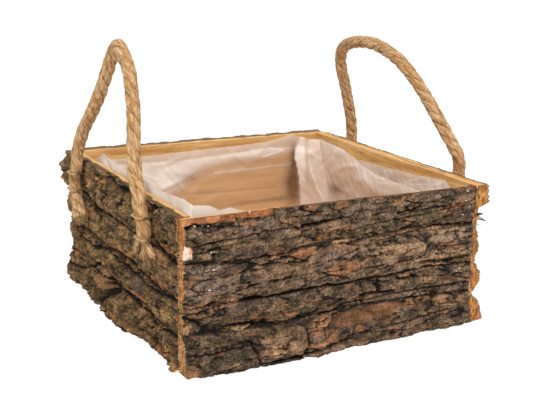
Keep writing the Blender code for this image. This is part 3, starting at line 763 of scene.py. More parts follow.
# Features placed one by one, with their points in pixels of the photograph.
# A crack: points, half width in mm, depth in mm.
# A plate: centre, half length and half height in pixels, slope of its long axis, lift in mm,
# and how far its colour goes to red, to tan, and to light (+) or dark (-).
FRONT_CRACKS = (
    (((188, 230), (196, 227), (206, 228), (220, 228), (235, 225.5)), 1.5, 4.5),
    (((237, 217), (239, 222), (241, 228)), 0.6, 2.5),
    (((304, 227), (316, 224), (330, 222), (344, 218.5)), 1.5, 4.6),
    (((262, 231), (290, 229), (304, 227)), 0.5, 1.6),
    (((187, 250), (210, 243), (240, 238), (262, 232)), 0.6, 1.8),
    (((350, 232), (372, 225), (398, 220), (430, 213), (466, 205)), 0.5, 1.4),
    (((398, 236), (420, 231), (436, 226), (471, 222)), 0.7, 2.0),
    (((244, 263), (262, 267), (279, 262), (290, 257), (304, 261)), 0.8, 2.6),
    (((289, 262), (304, 263), (309, 257)), 0.9, 3.0),
    (((376, 243), (400, 236), (418, 238), (430, 246), (424, 257), (400, 262)), 0.5, 1.7),
    (((427, 262), (450, 260), (471, 256)), 0.9, 2.4),
    (((430, 247), (452, 246), (470, 243)), 0.5, 1.8),
    (((244, 300), (262, 299), (288, 295), (308, 290), (330, 285.5), (352, 284)), 1.1, 3.4),
    (((352, 284), (366, 281), (383, 278), (400, 273), (425, 267), (468, 262)), 0.8, 2.4),
    (((365, 279), (365.5, 290), (364, 299)), 0.7, 3.0),
    (((383, 277), (383, 284), (380, 290)), 1.1, 4.0),
    (((186, 319), (200, 325), (207, 332), (222, 333), (240, 326), (256, 324)), 2.2, 5.0),
    (((256, 325), (284, 322), (312, 316), (334, 311), (346, 309)), 0.8, 2.6),
    (((334, 311), (345, 304), (372, 299), (402, 292), (433, 288), (466, 281)), 0.7, 2.2),
    (((433, 294), (433.5, 306)), 0.6, 3.0),
    (((252, 343), (256, 352), (258, 360), (257, 368)), 1.2, 4.5),
    (((257, 362), (280, 358), (303, 353), (330, 344), (352, 338)), 0.9, 3.2),
    (((306, 330), (309, 342), (303, 352)), 1.0, 3.0),
    (((187, 357), (210, 355), (232, 350), (252, 346)), 0.7, 2.6),
    (((352, 334), (390, 325), (430, 314), (462, 306)), 0.6, 2.0),
    (((275, 208), (275.5, 214), (276, 221)), 0.5, 2.0),
    (((398, 214), (410, 210.5), (424, 210), (438, 207), (452, 205.5)), 1.0, 2.6),
    (((250, 303), (254, 299.5), (263, 297.5)), 2.0, 4.0),
    (((362, 296), (372, 293.5), (384, 292.5), (396, 291)), 1.4, 3.6),
)
FRONT_PLATES = (
    ((335, 229), 16, 2.2, -0.27, 0.6, 0.15, 0.55, 0.1),
    ((348, 240.5), 14, 1.4, -0.16, 0.8, 0.0, 0.9, 0.2),
    ((401, 250), 27, 6.5, -0.12, 1.0, 0.05, 0.42, 0.25),
    ((450, 235), 21, 6.5, -0.12, 1.0, 0.0, 0.18, 0.25),
    ((450, 253), 21, 4.5, -0.12, 0.9, 0.05, 0.30, 0.2),
    ((304, 254), 13, 3.2, -0.25, 0.5, 0.8, 0.15, 0.0),
    ((282, 270), 35, 9.0, -0.20, 0.9, 0.12, 0.10, 0.10),
    ((214, 304), 27, 2.6, -0.14, 0.3, 0.75, 0.45, 0.1),
    ((344, 268), 15, 6.0, -0.2, 0.4, 0.5, 0.1, 0.05),
    ((434, 264.5), 15, 0.9, -0.13, 0.9, 0.1, 0.9, 0.3),
    ((238, 329.5), 16, 1.9, -0.20, 1.2, 0.0, 1.0, 0.5),
    ((368, 315), 34, 7.0, -0.24, -1.0, 0.42, 0.03, -0.20),
    ((322, 322.5), 9, 6.0, -0.3, 0.6, 0.55, 0.55, 0.0),
    ((417, 302), 14, 4.0, -0.15, 0.4, 0.65, 0.30, 0.0),
    ((450, 300), 16, 5.0, -0.10, 0.6, 0.30, 0.45, 0.1),
    ((284, 340), 23, 14.0, -0.10, 1.6, 0.10, 0.30, 0.15),
    ((271, 349), 10, 5.0, -0.10, 0.8, 0.35, 0.50, 0.1),
    ((192, 334), 6, 6.0, 0.3, 0.2, 0.45, 0.60, 0.1),
    ((191, 374), 6, 4.0, -0.05, -0.6, 0.50, 0.25, 0.0),
    ((230, 264), 36, 9, -0.15, 0.3, 0.0, 0.0, -0.12),
    ((214, 287), 26, 10, -0.20, 0.5, 0.0, 0.0, 0.05),
    ((222, 345), 32, 5, -0.12, 0.2, 0.0, 0.0, -0.1),
    ((228, 260.5), 40, 1.2, -0.15, 0.4, 0.70, 0.20, 0.0),
    ((292, 251.5), 20, 1.4, -0.22, 0.5, 0.90, 0.15, 0.0),
    ((214, 309.5), 26, 1.2, -0.14, 0.3, 0.60, 0.35, 0.0),
    ((268, 319.5), 36, 1.4, -0.16, 0.3, 0.60, 0.40, 0.0),
    ((420, 231), 44, 1.1, -0.16, 0.4, 0.50, 0.40, 0.0),
    ((412, 262), 30, 1.2, -0.16, 0.4, 0.40, 0.50, 0.0),
    ((325, 322), 8, 5.0, -0.5, 0.8, 0.85, 0.40, 0.1),
    ((352, 347), 60, 7, -0.22, 0.3, 0.12, 0.0, 0.12),
    ((228, 240), 38, 6, -0.12, 0.4, 0.0, 0.05, -0.05),
)
# Tints of the bark: centre in pixels, half sizes in mm before BLOB_SPREAD, and shift towards
# mauve grey (-) or olive (+)
FRONT_TINTS = (
    ((205, 290), 26, 14, -0.50), ((212, 360), 28, 10, -0.10), ((318, 338), 14, 8, -0.40),
    ((335, 260), 16, 9, -0.30), ((278, 262), 14, 6, -0.30), ((230, 238), 36, 9, 0.40),
    ((266, 288), 24, 8, 0.35), ((312, 272), 20, 8, 0.35), ((332, 238), 32, 6, 0.35),
    ((420, 225), 30, 8, 0.25), ((430, 282), 30, 8, 0.30), ((360, 232), 20, 5, 0.25),
    ((425, 210), 46, 9, 0.30), ((340, 236), 44, 8, 0.25), ((215, 355), 36, 12, 0.20),
    ((250, 314), 46, 7, 0.25),
)
LEFT_TINTS = (
    ((164, 216), 10, 12, -0.55), ((136, 284), 20, 12, -0.65), ((160, 330), 16, 16, -0.25),
    ((92, 248), 16, 10, -0.45), ((112, 214), 22, 14, -0.25), ((140, 256), 12, 8, -0.30),
    ((172, 290), 10, 14, -0.40), ((120, 330), 24, 16, 0.15),
)
# Parts of a wall that are darker (-) or paler (+), in the same way
FRONT_TONES = (
    ((220, 355), 40, 13, -0.14), ((340, 236), 46, 7, 0.10), ((425, 248), 40, 9, 0.07),
    ((420, 279), 44, 8, 0.08), ((425, 211), 42, 8, -0.05), ((250, 314), 50, 6, -0.03),
    ((342, 300), 24, 9, -0.12), ((278, 330), 44, 8, -0.24), ((258, 302), 16, 8, -0.34),
    ((382, 293), 15, 7, -0.16), ((380, 248), 16, 7, 0.14), ((425, 284), 20, 6, 0.10),
    ((203, 297), 14, 6, 0.12), ((292, 264), 16, 6, -0.12), ((350, 240), 12, 5, -0.16),
)
LEFT_TONES = (((102, 296), 16, 13, -0.30), ((111, 274), 11, 9, -0.16), ((168, 244), 9, 9, 0.16))
LEFT_CRACKS = (
    (((84, 160), (84.5, 175), (86, 190)), 1.2, 2.5),
    (((103, 175), (108, 181), (114, 188), (126, 192), (130, 195)), 3.0, 5.0),
    (((152, 196), (152, 208), (149, 226), (148, 236)), 2.5, 3.5),
    (((88, 205), (92, 208), (97, 211)), 2.5, 4.0),
    (((74, 226), (82, 238), (92, 247), (104, 250), (116, 262), (130, 274)), 1.8, 3.4),
    (((150, 235), (155, 247), (160, 256), (166, 262), (178, 268)), 2.0, 4.0),
    (((70, 262), (82, 268), (98, 264), (106, 268)), 1.2, 3.0),
    (((108, 280), (112, 289), (108, 296), (104, 302)), 5.0, 5.5),
    (((120, 290), (132, 297), (146, 305), (152, 309)), 1.5, 3.5),
    (((130, 272), (142, 284), (160, 295), (176, 303)), 1.5, 2.6),
    (((150, 322), (160, 330), (172, 338), (178, 342)), 1.5, 2.6),
    (((172, 349), (176, 358), (176, 366)), 2.0, 4.0),
    (((74, 280), (88, 296), (104, 314), (124, 332)), 1.5, 2.0),
)
LEFT_PLATES = (
    ((156, 240), 9, 3.2, 1.3, 0.8, 0.95, 0.10, 0.0),
    ((117, 254), 10, 1.8, 0.45, 0.5, 0.9, 0.10, 0.0),
    ((134, 252.5), 4, 2.2, -0.3, 1.2, 0.0, 0.6, 0.3),
    ((153, 254), 6, 3.5, 0.8, 1.0, 0.1, 0.6, 0.2),
    ((155, 281), 9, 2.0, 0.6, 0.6, 0.95, 0.2, 0.0),
    ((158, 312), 12, 5.0, 0.6, 0.6, 0.0, 0.75, 0.2),
    ((166, 228), 10, 16, 0.8, 0.4, 0.0, 0.0, -0.15),
    ((136, 284), 22, 8, 0.75, 0.6, 0.0, 0.0, -0.22),
    ((122, 312), 26, 6, 1.05, 0.8, 0.10, 0.0, -0.05),
    ((150, 250), 9, 2.4, 1.35, 1.6, 1.00, 0.30, 0.1),
    ((166, 250), 8, 1.8, 1.0, 1.0, 0.90, 0.30, 0.1),
    ((116, 250), 13, 1.6, 0.55, 0.8, 0.85, 0.25, 0.1),
    ((84, 236), 8, 3.0, 0.9, 0.8, 0.45, 0.30, 0.1),
    ((102, 280), 7, 7.0, 0.8, 1.2, 0.35, 0.30, 0.15),
    ((96, 202), 6, 3, 0.8, 0.5, 0.6, 0.3, 0.0),
    ((115, 215), 24, 16, 0.7, 1.0, 0.0, 0.05, 0.0),
    ((76, 252), 9, 4, 0.75, 0.5, 0.4, 0.3, 0.0),
    ((103, 273), 12, 5, 0.8, 0.4, 0.1, 0.35, 0.1),
    ((100, 318), 16, 3, 1.1, 0.6, 0.30, 0.30, 0.0),
)


CRACKS = {"front": FRONT_CRACKS, "left": LEFT_CRACKS}
PLATES = {"front": FRONT_PLATES, "left": LEFT_PLATES}
TINTS = {"front": FRONT_TINTS, "left": LEFT_TINTS}
TONES = {"front": FRONT_TONES, "left": LEFT_TONES}
BLOB_SPREAD = 0.8


class Look:
    """Relief in mm, painted shade in the dips, and the shares that colour the bark, at places on a
    wall.
    """

    def __init__(self, relief, cavity_shade):
        self.relief = relief
        self.cavity_shade = cavity_shade
        self.tone = self.red = self.tan = self.green = 0.0

    # Lowers the relief along a cut and adds painted shade there, of the amount dark
    def cut(self, shape, depth, dark):
        self.relief -= depth * shape
        self.cavity_shade += dark * shape


def add_plate(look, wall, x, z, wx, wz, shape):
    """A listed plate of bark: a sunken one is smooth, sunken and pale ones lose most of their
    painted shade, and painted shade runs round its border.
    """
    (u, v), half, tall, slope, lift, red, tan, light = shape
    cx, cz = on_wall(wall, u, v)
    ex, ez = on_wall(wall, u + half, v + half * slope)
    fx, fz = on_wall(wall, u, v - tall)
    a, b = np.array((ex - cx, ez - cz)), np.array((fx - cx, fz - cz))
    det = a[0] * b[1] - a[1] * b[0]
    p = ((wx - cx) * b[1] - (wz - cz) * b[0]) / det
    q = (a[0] * (wz - cz) - a[1] * (wx - cx)) / det
    away = (np.abs(p) ** 3 + np.abs(q) ** 3) ** (1 / 3) + 0.12 * perlin(x / 6.0, z / 3.5, 75)
    inside = step(1.12, 0.90, away)
    sunken, pale = lift < -0.5, tan >= 0.9
    look.relief = look.relief * (1 - 0.6 * inside * sunken) + lift * inside
    # Less painted shade on sunken and pale plates, and painted shade round each plate's border
    look.cavity_shade *= 1 - max(0.65 * sunken, 0.75 * pale) * inside
    look.cavity_shade += 0.25 * hump(away - 1.1, 0.10) * min(1.0, abs(lift))
    look.red = look.red * (1 - 0.7 * inside) + red * inside
    look.tan = look.tan * (1 - 0.7 * inside) + tan * inside
    look.tone += light * inside


def add_features(look, wall, x, z):
    """Adds the listed plates and cracks, with wandering outlines, and painted shade in the cracks.
    """
    wx = x + 0.9 * perlin(x / 4.0, z / 3.0, 71) + 0.4 * perlin(x / 1.6, z / 1.4, 72)
    wz = z + 0.7 * perlin(x / 5.0, z / 3.0, 73) + 0.35 * perlin(x / 1.7, z / 1.5, 74)
    for shape in PLATES.get(wall, ()):
        add_plate(look, wall, x, z, wx, wz, shape)
    for points, width, depth in CRACKS.get(wall, ()):
        away = polyline_distance(wx, wz, [on_wall(wall, u, v) for u, v in points])
        look.relief -= depth * hump(away, width)
        # Painted shade in the crack
        look.cavity_shade += 0.95 * hump(away, 0.8 * width)


def shifts(table, wall, x, z):
    """Sum of a table's blobs at places on a wall."""
    return sum(
        shift * blob(x, z, on_wall(wall, u, v), half, tall, BLOB_SPREAD)
        for (u, v), half, tall, shift in table.get(wall, ())
    )


def crack_lines(edge, width, x, z, low, high, seed, least):
    """Cracks along the borders of cells, open in some parts and nearly shut in others."""
    there = step(low, high, perlin(x, z, seed))
    return hump(edge, width) * (least + (1 - least) * there)


# What differs between the crumbled left wall and the others: painted shade in the small cracks,
# height of the mounds, painted shade between them, and how far the tone swings
CRUMBLED = dict(small=0.72, mounds=1.6, hollows=0.30, swing=0.55)
PLAIN = dict(small=0.56, mounds=0.85, hollows=0.50, swing=0.42)
# How much darker each slab is, from the top
SLAB_SHADES = (0.02, -0.02, 0.05, 0.09)


def bark(wall, number, x, z, share):
    """Relief, painted shade and colour shares of the bark at places on a wall, in mm."""
    seed = 1000 * WALLS.index(wall) + 100 * number
    plate_seed = 3.1 * WALLS.index(wall) + 7.3 * number
    crumbled = wall == "left"
    kind = CRUMBLED if crumbled else PLAIN
    plates = each(lambda a, b: plate(a * MM, b * MM, plate_seed), x, z)
    big, border = plates[..., 0] / PLATE_LIFT, plates[..., 1]

    # Plates, then cells and small cells between cracks, with painted shade in the cracks
    edge = border + 0.10 * perlin(x / 5, z / 3, seed + 1)
    crack = crack_lines(edge, 0.060, x / 26, z / 11, -0.35, 0.35, seed + 5, 0.12)
    look = Look(-1.9 * crack, 0.88 * crack)
    bend_x = layers(x / 38, z / 14, 2, seed + 2)
    wx = x + 5.0 * bend_x + 1.6 * perlin(x / 5, z / 4, seed + 3)
    wz = z + 1.8 * bend_x + 0.8 * perlin(x / 6, z / 3.5, seed + 4)
    edge, middle = cells(wx / 12, wz / 4.6, seed + 7)
    look.relief += 0.6 * (middle - 0.5)
    look.cut(crack_lines(edge, 0.070, x / 12, z / 7, 0.0, 0.5, seed + 8, 0.12), 0.8, 0.55)
    sx = x + 0.9 * perlin(x / 2.6, z / 2.6, seed + 21)
    sz = z + 0.8 * perlin(x / 2.4, z / 2.8, seed + 22)
    edge, small = cells(sx / 4.6, sz / 3.4, seed + 9)
    look.relief += 0.40 * (small - 0.5)
    crack = crack_lines(edge, 0.125, x / 9, z / 9, -0.55, 0.2, seed + 10, 0.1)
    look.cut(crack, 0.45, kind["small"])

    # Mounds and crumbs, grain and long splits, with painted shade between the mounds and crumbs and
    # in the splits
    mounds = layers(wx / 7.5, wz / 4.2, 2, seed + 23)
    look.relief += kind["mounds"] * mounds
    look.cavity_shade += kind["hollows"] * step(-0.12, -0.5, mounds)
    if crumbled:
        crumbs = layers(sx / 4.2, sz / 3.6, 2, seed + 24)
        look.relief += 0.75 * crumbs
        look.cavity_shade += 0.26 * step(-0.10, -0.45, crumbs)
    look.relief += 0.42 * layers(x / 2.6, z / 2.1, 3, seed + 11)
    look.relief += 0.16 * perlin(x / 0.95, z / 4.2, seed + 12)
    split = hump(perlin(wx / 9, z / 22, seed + 13), 0.035)
    look.cut(split * step(0.20, 0.5, perlin(x / 8, z / 4, seed + 14)), 1.2, 0.6)

    # Colours
    look.tone = 0.40 + 0.08 * big + 0.13 * (middle - 0.5) + 0.12 * (small - 0.5)
    look.tone += kind["swing"] * layers(x / 16, z / 8, 2, seed + 15)
    look.tone -= SLAB_SHADES[number]
    fringe = step(0.16, 0.06, np.abs(border - 0.16))
    fringe *= step(0.15, 0.45, perlin(x / 18, z / 7, seed + 20))
    flaked = step(0.90, 0.93, middle) * step(0.0, 0.3, perlin(x / 30, z / 16, seed + 16))
    peeled = step(0.75, 0.85, big) * step(-0.1, 0.3, perlin(x / 11, z / 5, seed + 19))
    bits = step(0.90, 0.93, small) * step(0.1, 0.5, perlin(x / 14, z / 9, seed + 17))
    look.red = 0.55 * flaked + 0.25 * peeled + 0.45 * fringe
    look.tan = 0.5 * bits + 0.25 * fringe
    # Painted shade along each slab's upper edge under the bark lip of the slab above (only a little
    # at the rim), and along its foot
    lip = step(0.92, 1.0, share) if number else 0.2 * step(0.97, 1.0, share)
    foot = (0.45 if number < SLABS - 1 else 0.3) * step(0.07, 0.0, share)
    look.cavity_shade = look.cavity_shade + 0.75 * lip + foot
    add_features(look, wall, x, z)
    look.tone += shifts(TONES, wall, x, z)
    if crumbled:
        look.green = 0.56 + 0.30 * step(-0.2, 0.5, layers(x / 40, z / 25, 2, seed + 18))
    else:
        look.green = 0.5 + 0.55 * layers(x / 34, z / 15, 2, seed + 18)
    look.green += shifts(TINTS, wall, x, z)
    for name in ("cavity_shade", "tone", "red", "tan", "green"):
        setattr(look, name, np.clip(getattr(look, name), 0, 1))
    return look


def mix(a, b, share):
    return a + (b - a) * share


def smooth_step(x):
    x = min(max(x, 0.0), 1.0)
    return x * x * (3 - 2 * x)


def wave(x, length, seed):
    return noise.noise(Vector((x / length, 0.37 * seed, 1.7 * seed)))


def tail_along(handle, end, down):
    """Place along Y of a rope's tail, at a share of the way down it."""
    shares = handle["rear"] if end > 0 else handle["front"]
    down = min(max(down, 0.0), shares[-1][1])
    out = 0.0
    for (out_a, down_a), (out_b, down_b) in zip(shares, shares[1:]):
        if down_a <= down <= down_b:
            out = mix(out_a, out_b, (down - down_a) / (down_b - down_a))
    return handle["centre"] + end * (handle["half"] + TAIL_LENGTH * out)


def bend(shares, share_along):
    """Share of the height at a share along a bent joint."""
    for (a, up_a), (b, up_b) in zip(shares, shares[1:]):
        if a <= share_along <= b:
            return mix(up_a, up_b, smooth_step((share_along - a) / (b - a)))
    return shares[-1][1]


def joint_height(wall, joint, x):
    """Height of a joint between two slabs; joint 0 is the rim and the last is the lower edge."""
    seed = 5 * WALLS.index(wall) + joint + 1
    height = HEIGHT * (1 - JOINT_SHARES[wall][joint])
    if joint == 0:
        return height - RIM_WANE * (0.5 + 0.5 * wave(x, WANE_LENGTH, seed))
    if (wall, joint) in JOINT_BEND_SHARES:
        height = HEIGHT * bend(JOINT_BEND_SHARES[wall, joint], x / (SIDE / 2))
    elif joint < SLABS:
        height += WANE * wave(x, WANE_LENGTH, seed)
    if joint == SLABS:
        height += RAGGED * (0.5 + 0.5 * wave(x, RAGGED_LENGTH, seed))
    return height


def plate(x, height, seed):
    """How far the plate of bark at a place lies over the mean, and how far off its border is."""
    bent = noise.noise(Vector((x / SWELL_LENGTH, height / SWELL_HEIGHT, seed + 0.5)))
    along = (x + PLATE_BEND * bent) / PLATE_LENGTH
    up = (height + PLATE_BEND_UP * bent) / PLATE_HEIGHT
    apart, middles = noise.voronoi(Vector((along, up, seed)))
    return PLATE_LIFT * noise.cell(middles[0] * len(WALLS) * SLABS), apart[1] - apart[0]


def form_lift(wall, x, height):
    """Rise or fall of the bark by the larger forms of a wall."""
    lift = 0.0
    for along, up, half_along, half_up, share in BARK_FORM_SHARES[wall]:
        away = abs(x / (SIDE / 2) - along) / half_along
        off = abs(height / HEIGHT - up) / half_up
        reach = (away ** 3 + off ** 3) ** (1 / 3)
        lift += BARK * share * smooth_step((1.3 - reach) / 0.6)
    return lift


def rope_seat(wall, x, height):
    """Distance along a wall from the nearest rope on it, in rope diameters."""
    if wall not in HANDLES:
        return math.inf
    handle = HANDLES[wall]
    down = (TAIL_TOP - height) / TAIL_LENGTH
    return min(
        abs(x - handle["out"] * tail_along(handle, end, down)) / ROPE_DIAMETER
        for end in (1, -1)
    )


def slab_depth(wall, number, x, height, share):
    """Thickness of a slab at a place: crowned, with the bark's forms, level under a rope."""
    drop = EDGE_DROPS[wall]
    lower = (-FOOT_SWELL if number == SLABS - 1 else drop) * (1 - share) ** 3
    upper = (RIM_DROP if number == 0 else drop) * share ** 3
    seed = 3.1 * WALLS.index(wall) + 7.3 * number
    swell = noise.noise(Vector((x / SWELL_LENGTH, height / SWELL_HEIGHT, seed)))
    crowned = WOOD + BARK + BARK_SWELL * swell - lower - upper
    crowned += plate(x, height, seed)[0] + form_lift(wall, x, height)
    if number < 2:
        level = WOOD + BARK - lower - (upper if number else 0.0)
        crowned = mix(level, crowned, smooth_step(rope_seat(wall, x, height) - 1.1))
    return max(crowned, LEAST_WOOD)


# Steps of a slab's surface: along each wall, up as a share of that, and through its thickness
SLAB_STEPS = {"front": 430, "right": 300, "rear": 300, "left": 360}
STEPS_UP = 0.125
STEPS_THROUGH = 7
# Least thickness of bark under a rope, as relief in mm, and the most that the back edges close up
SEAT_RELIEF = -0.2
BACK_SHUT = 0.38
BARK_SHARP_ANGLE = 50


def slab_places(wall, number):
    """Places along and up a slab in metres, and the share of the way up it."""
    nx = SLAB_STEPS[wall]
    nz = round(nx * STEPS_UP)
    xs = np.linspace(-SIDE / 2, INNER - TOUCH_GAP, nx + 1)
    even = np.linspace(0, 1, nz + 1)
    shares = 0.6 * even + 0.4 * (0.5 - 0.5 * np.cos(math.pi * even))
    low = each(lambda x: joint_height(wall, number + 1, x), xs)
    high = each(lambda x: joint_height(wall, number, x), xs)
    if number < SLABS - 1:
        low += SLAB_GAP / 2
    if number > 0:
        high -= SLAB_GAP / 2
    x = np.repeat(xs[:, None], nz + 1, axis=1)
    share = np.repeat(shares[None, :], nx + 1, axis=0)
    return x, low[:, None] + (high - low)[:, None] * share, share


def bare_rim(x, z, plain, look):
    """Takes the bark off a strip along the front rim, and gives the strip's place."""
    start, _ = on_wall("front", *BARE_RIM_START)
    stop, _ = on_wall("front", *BARE_RIM_STOP)
    along = (x / MM - start) / (stop - start)
    down = HEIGHT / MM - z / MM
    tall = 5.6 - 1.2 * along + 1.2 * ripple(x, 7 * MM, 301) + 0.5 * ripple(x, 2 * MM, 302)
    off = step(0.35, -0.35, down - tall) * step(1.004, 0.996, along) * step(-0.01, 0.0, along)
    wood = (WOOD - plain) / MM + 1.0 + 0.5 * perlin(x / (9 * MM), z / (1.5 * MM), 303)
    look.relief += (np.minimum(wood, look.relief) - look.relief) * off
    look.red = np.maximum(look.red, 0.9 * off)
    look.cavity_shade *= 1 - off
    return 0.35 * off


def ragged_lips(wall, number, x, share, bare, seed):
    """How far the bark's edges hang over the joint below and stand above the rim, in mm."""
    jag = np.clip(0.6 + 1.1 * ripple(x, 11 * MM, seed + 31), 0, 2)
    jag += 0.5 * np.abs(ripple(x, 2.8 * MM, seed + 32))
    if number < SLABS - 1:
        lip = -1.5 * jag * step(0.22, 0.0, share)
    else:
        lip = 0.7 * jag * step(0.12, 0.0, share)
    if number:
        return lip - 0.6 * jag * step(0.80, 1.0, share)
    rise = 0.45 + 0.75 * ripple(x, 13 * MM, seed + 35) + 0.35 * jag * ripple(x, 3 * MM, seed + 36)
    rise = np.clip(rise, -0.1, 1.4) * RIM_LIPS[wall] * (1 - bare)
    return lip + rise * step(0.86, 1.0, share)


class Shell:
    """The points of a slab's surface, by their steps along, up and through it."""

    def __init__(self, shape):
        nx, nz, nk = (n - 1 for n in shape)
        i, j, k = np.meshgrid(*(np.arange(n) for n in shape), indexing="ij")
        within = (i > 0) & (i < nx) & (j > 0) & (j < nz)
        shown = ~(within & (k < nk))
        self.index = np.full(shape, -1, np.int64)
        self.index[shown] = np.arange(shown.sum())
        self.i, self.j, self.k = i[shown], j[shown], k[shown]
        self.level = self.k / nk
        self.outer = self.k == nk
        self.top = self.j == nz
        self.low = self.j == 0
        self.edge = self.low | self.top
        self.at_end = ((self.i == 0) | (self.i == nx)) & (self.k > 0)
        self.inward = np.where(self.i == 0, 1.0, -1.0) * self.at_end

    def quads(self):
        """Outer face, upper and lower edges, and both ends."""
        return np.concatenate([
            grid_quads(self.index[:, :, -1]),
            grid_quads(self.index[:, -1, :])[:, ::-1],
            grid_quads(self.index[:, 0, :]),
            grid_quads(self.index[0, :, :])[:, ::-1],
            grid_quads(self.index[-1, :, :]),
        ])

    def back(self):
        """The flat back, as one face."""
        flat = self.index[:, :, 0]
        rim = [*flat[:, 0], *flat[-1, 1:], *flat[-2::-1, -1], *flat[0, -2:0:-1]]
        return rim[::-1]


def shell_places(wall, number, shell, x, z, lip, deep, seed):
    """Places of a slab's points along and up its wall, in metres, with their rough edges."""
    upper, lower = number == 0, number == SLABS - 1
    at_x = x[shell.i, shell.j]
    at_z = z[shell.i, shell.j] + lip[shell.i, shell.j] * MM * shell.level ** 3
    at_z -= RIM_FALLS[wall] * MM * (1 - shell.level) * (shell.top & upper)
    shut = BACK_SHUT * MM * (shell.k <= 2)
    at_z = at_z - shut * (shell.low & (not lower)) + shut * (shell.top & (not upper))
    if wall == "left":
        by_end = step(INNER / MM - 6, INNER / MM - 1, at_x / MM) * step(0.70, 0.90, shell.level)
        at_x += by_end * (2.6 + 1.4 * perlin(at_z / (5 * MM), deep * 0 + 0.5, seed + 41)) * MM
    if wall == "front":
        by_end = step(5.0, 1.5, (at_x + SIDE / 2) / MM) * MM
        open_low, open_high = 0.6 * OPEN_JOINTS[number + 1], 0.4 * OPEN_JOINTS[number]
        at_z += by_end * (open_low * shell.low - open_high * shell.top)
    at_z = np.maximum(at_z, 0.0)
    rough = np.abs(0.25 * perlin(at_x / (2 * MM), deep / (1.2 * MM), seed + 33)) * MM
    sawn = shell.edge & ~shell.outer & (shell.k > 0)
    at_z += np.where(sawn, rough * np.where(shell.low, 1, -1), 0)
    rough = 0.5 + 0.5 * perlin(at_z / (1.5 * MM), deep / (1.5 * MM), seed + 34)
    at_x += shell.inward * MM * (0.25 * rough + 0.8 * rough * shell.outer)
    return at_x, at_z


def paint_slab(mesh, wall, number, shell, look, bare, at_x, at_z, deep, seed):
    """Where a slab's surface is bark or wood, its painted shade, and the bark's colour shares."""
    here = shell.i, shell.j
    rim = shell.top & (number == 0)
    in_joint = shell.edge & ~rim & ~shell.outer & (shell.k > 0)
    shift = END_WOOD[wall] + 0.8 * ripple(at_z, 4 * MM, seed + 40, 0.5)
    shift = np.where(shell.at_end, shift, 0)
    in_bark = step(WOOD / MM - 1.0, WOOD / MM + 0.2, deep / MM - shift)
    sliver = step(0.15, 0.35, ripple(at_x, 24 * MM, seed + 37, seed))
    reach = RIM_BARK[wall] + 1.6 * ripple(at_x, 9 * MM, seed + 38, 0.5)
    reach += 0.6 * ripple(at_x, 2.5 * MM, seed + 39, 0.5)
    over = step(-0.5, 0.5, deep / MM - WOOD / MM + reach * (1 - bare[here]))
    in_bark = np.where(rim & ~shell.outer, over, in_bark)
    in_bark = np.where(in_joint, np.maximum(in_bark, 1 - sliver), in_bark)
    in_bark = np.where(shell.outer, 1.0 - bare[here], in_bark)
    # Painted shade in the joints between slabs, less where a sliver of bark shows; the other cut
    # faces a little darker; the bark's own painted shade on the outer face
    dark = np.where(in_joint, 0.75 - 0.55 * sliver, 0.1)
    dark = np.where(shell.outer, look.cavity_shade[here], dark)
    own = shell.outer & ~(rim & (wall == "rear"))
    cut_red, cut_tan = CUT_BARK[wall]
    tone = np.where(own, look.tone[here], 1.0 * shell.at_end)
    red = np.where(own, look.red[here], cut_red)
    tan = np.where(own, look.tan[here], cut_tan)
    green = np.where(own, look.green[here], 0.5)
    paint(mesh, "bark_map", np.stack([dark, tone, red], axis=1))
    paint(mesh, "bark_more", np.stack([tan, green, in_bark], axis=1))


def slab(wall, number, material):
    """A detailed slab in the place of its solid: outer bark, sawn edges and ends, flat back."""
    seed = 1000 * WALLS.index(wall) + 100 * number
    x, z, share = slab_places(wall, number)
    plain = each(lambda *place: slab_depth(wall, number, *place), x, z, share)
    look = bark(wall, number, x / MM, z / MM, share)
    bare = np.zeros(x.shape)
    if wall == "front" and number == 0:
        bare = bare_rim(x, z, plain, look)
    if number < 2 and wall in HANDLES:
        away = step(0.7, 1.4, each(lambda *place: rope_seat(wall, *place), x, z))
        over = look.relief - SEAT_RELIEF
        look.relief = np.where(over > 0, SEAT_RELIEF + over * away, look.relief)
    depth = np.maximum(plain + look.relief * MM, LEAST_WOOD)
    lip = ragged_lips(wall, number, x, share, bare, seed)
    shell = Shell((*x.shape, STEPS_THROUGH + 1))
    deep = depth[shell.i, shell.j] * shell.level
    at_x, at_z = shell_places(wall, number, shell, x, z, lip, deep, seed)
    verts = np.stack([at_x, -INNER - deep, at_z], axis=1) @ wall_turn(wall).T
    mesh = new_mesh(f"{wall}_bark_{number + 1}", verts, shell.quads(), [shell.back()])
    paint_slab(mesh, wall, number, shell, look, bare, at_x, at_z, deep, seed)
    thing = add(mesh.name, mesh, material, "basket", BARK_SHARP_ANGLE)
    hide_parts(f"{wall}_slab_{number + 1}")
    return thing


def wall_slabs(wall):
    """The slabs of a wall, with the grain along it."""
    material = bark_material(wall, 0 if wall in ("front", "rear") else 1)
    return [slab(wall, number, material) for number in range(SLABS)]


# Rope

def route_of(handle):
    """Points of a whole rope, from its rear end up over the arch to its front end."""
    lean = math.radians(handle["lean"])

    def tail(shares, end):
        for out, down in shares:
            along = handle["centre"] + end * (handle["half"] + TAIL_LENGTH * out)
            yield Vector((handle["out"] * ROPE_LINE, along, TAIL_TOP - TAIL_LENGTH * down))

    def arch():
        for along, up in handle["arch"]:
            up *= handle["rise"]
            yield Vector((
                handle["out"] * (ROPE_LINE - up * math.sin(lean)),
                handle["centre"] + handle["half"] * along,
                HINGE_HEIGHT + up * math.cos(lean),
            ))

    return [*list(tail(handle["rear"], 1))[::-1], *arch(), *tail(handle["front"], -1)]


# Steps of a smooth curve between two points of its route, and how often it is evened out
CURVE_STEPS = 24
CURVE_ROUNDS = 6


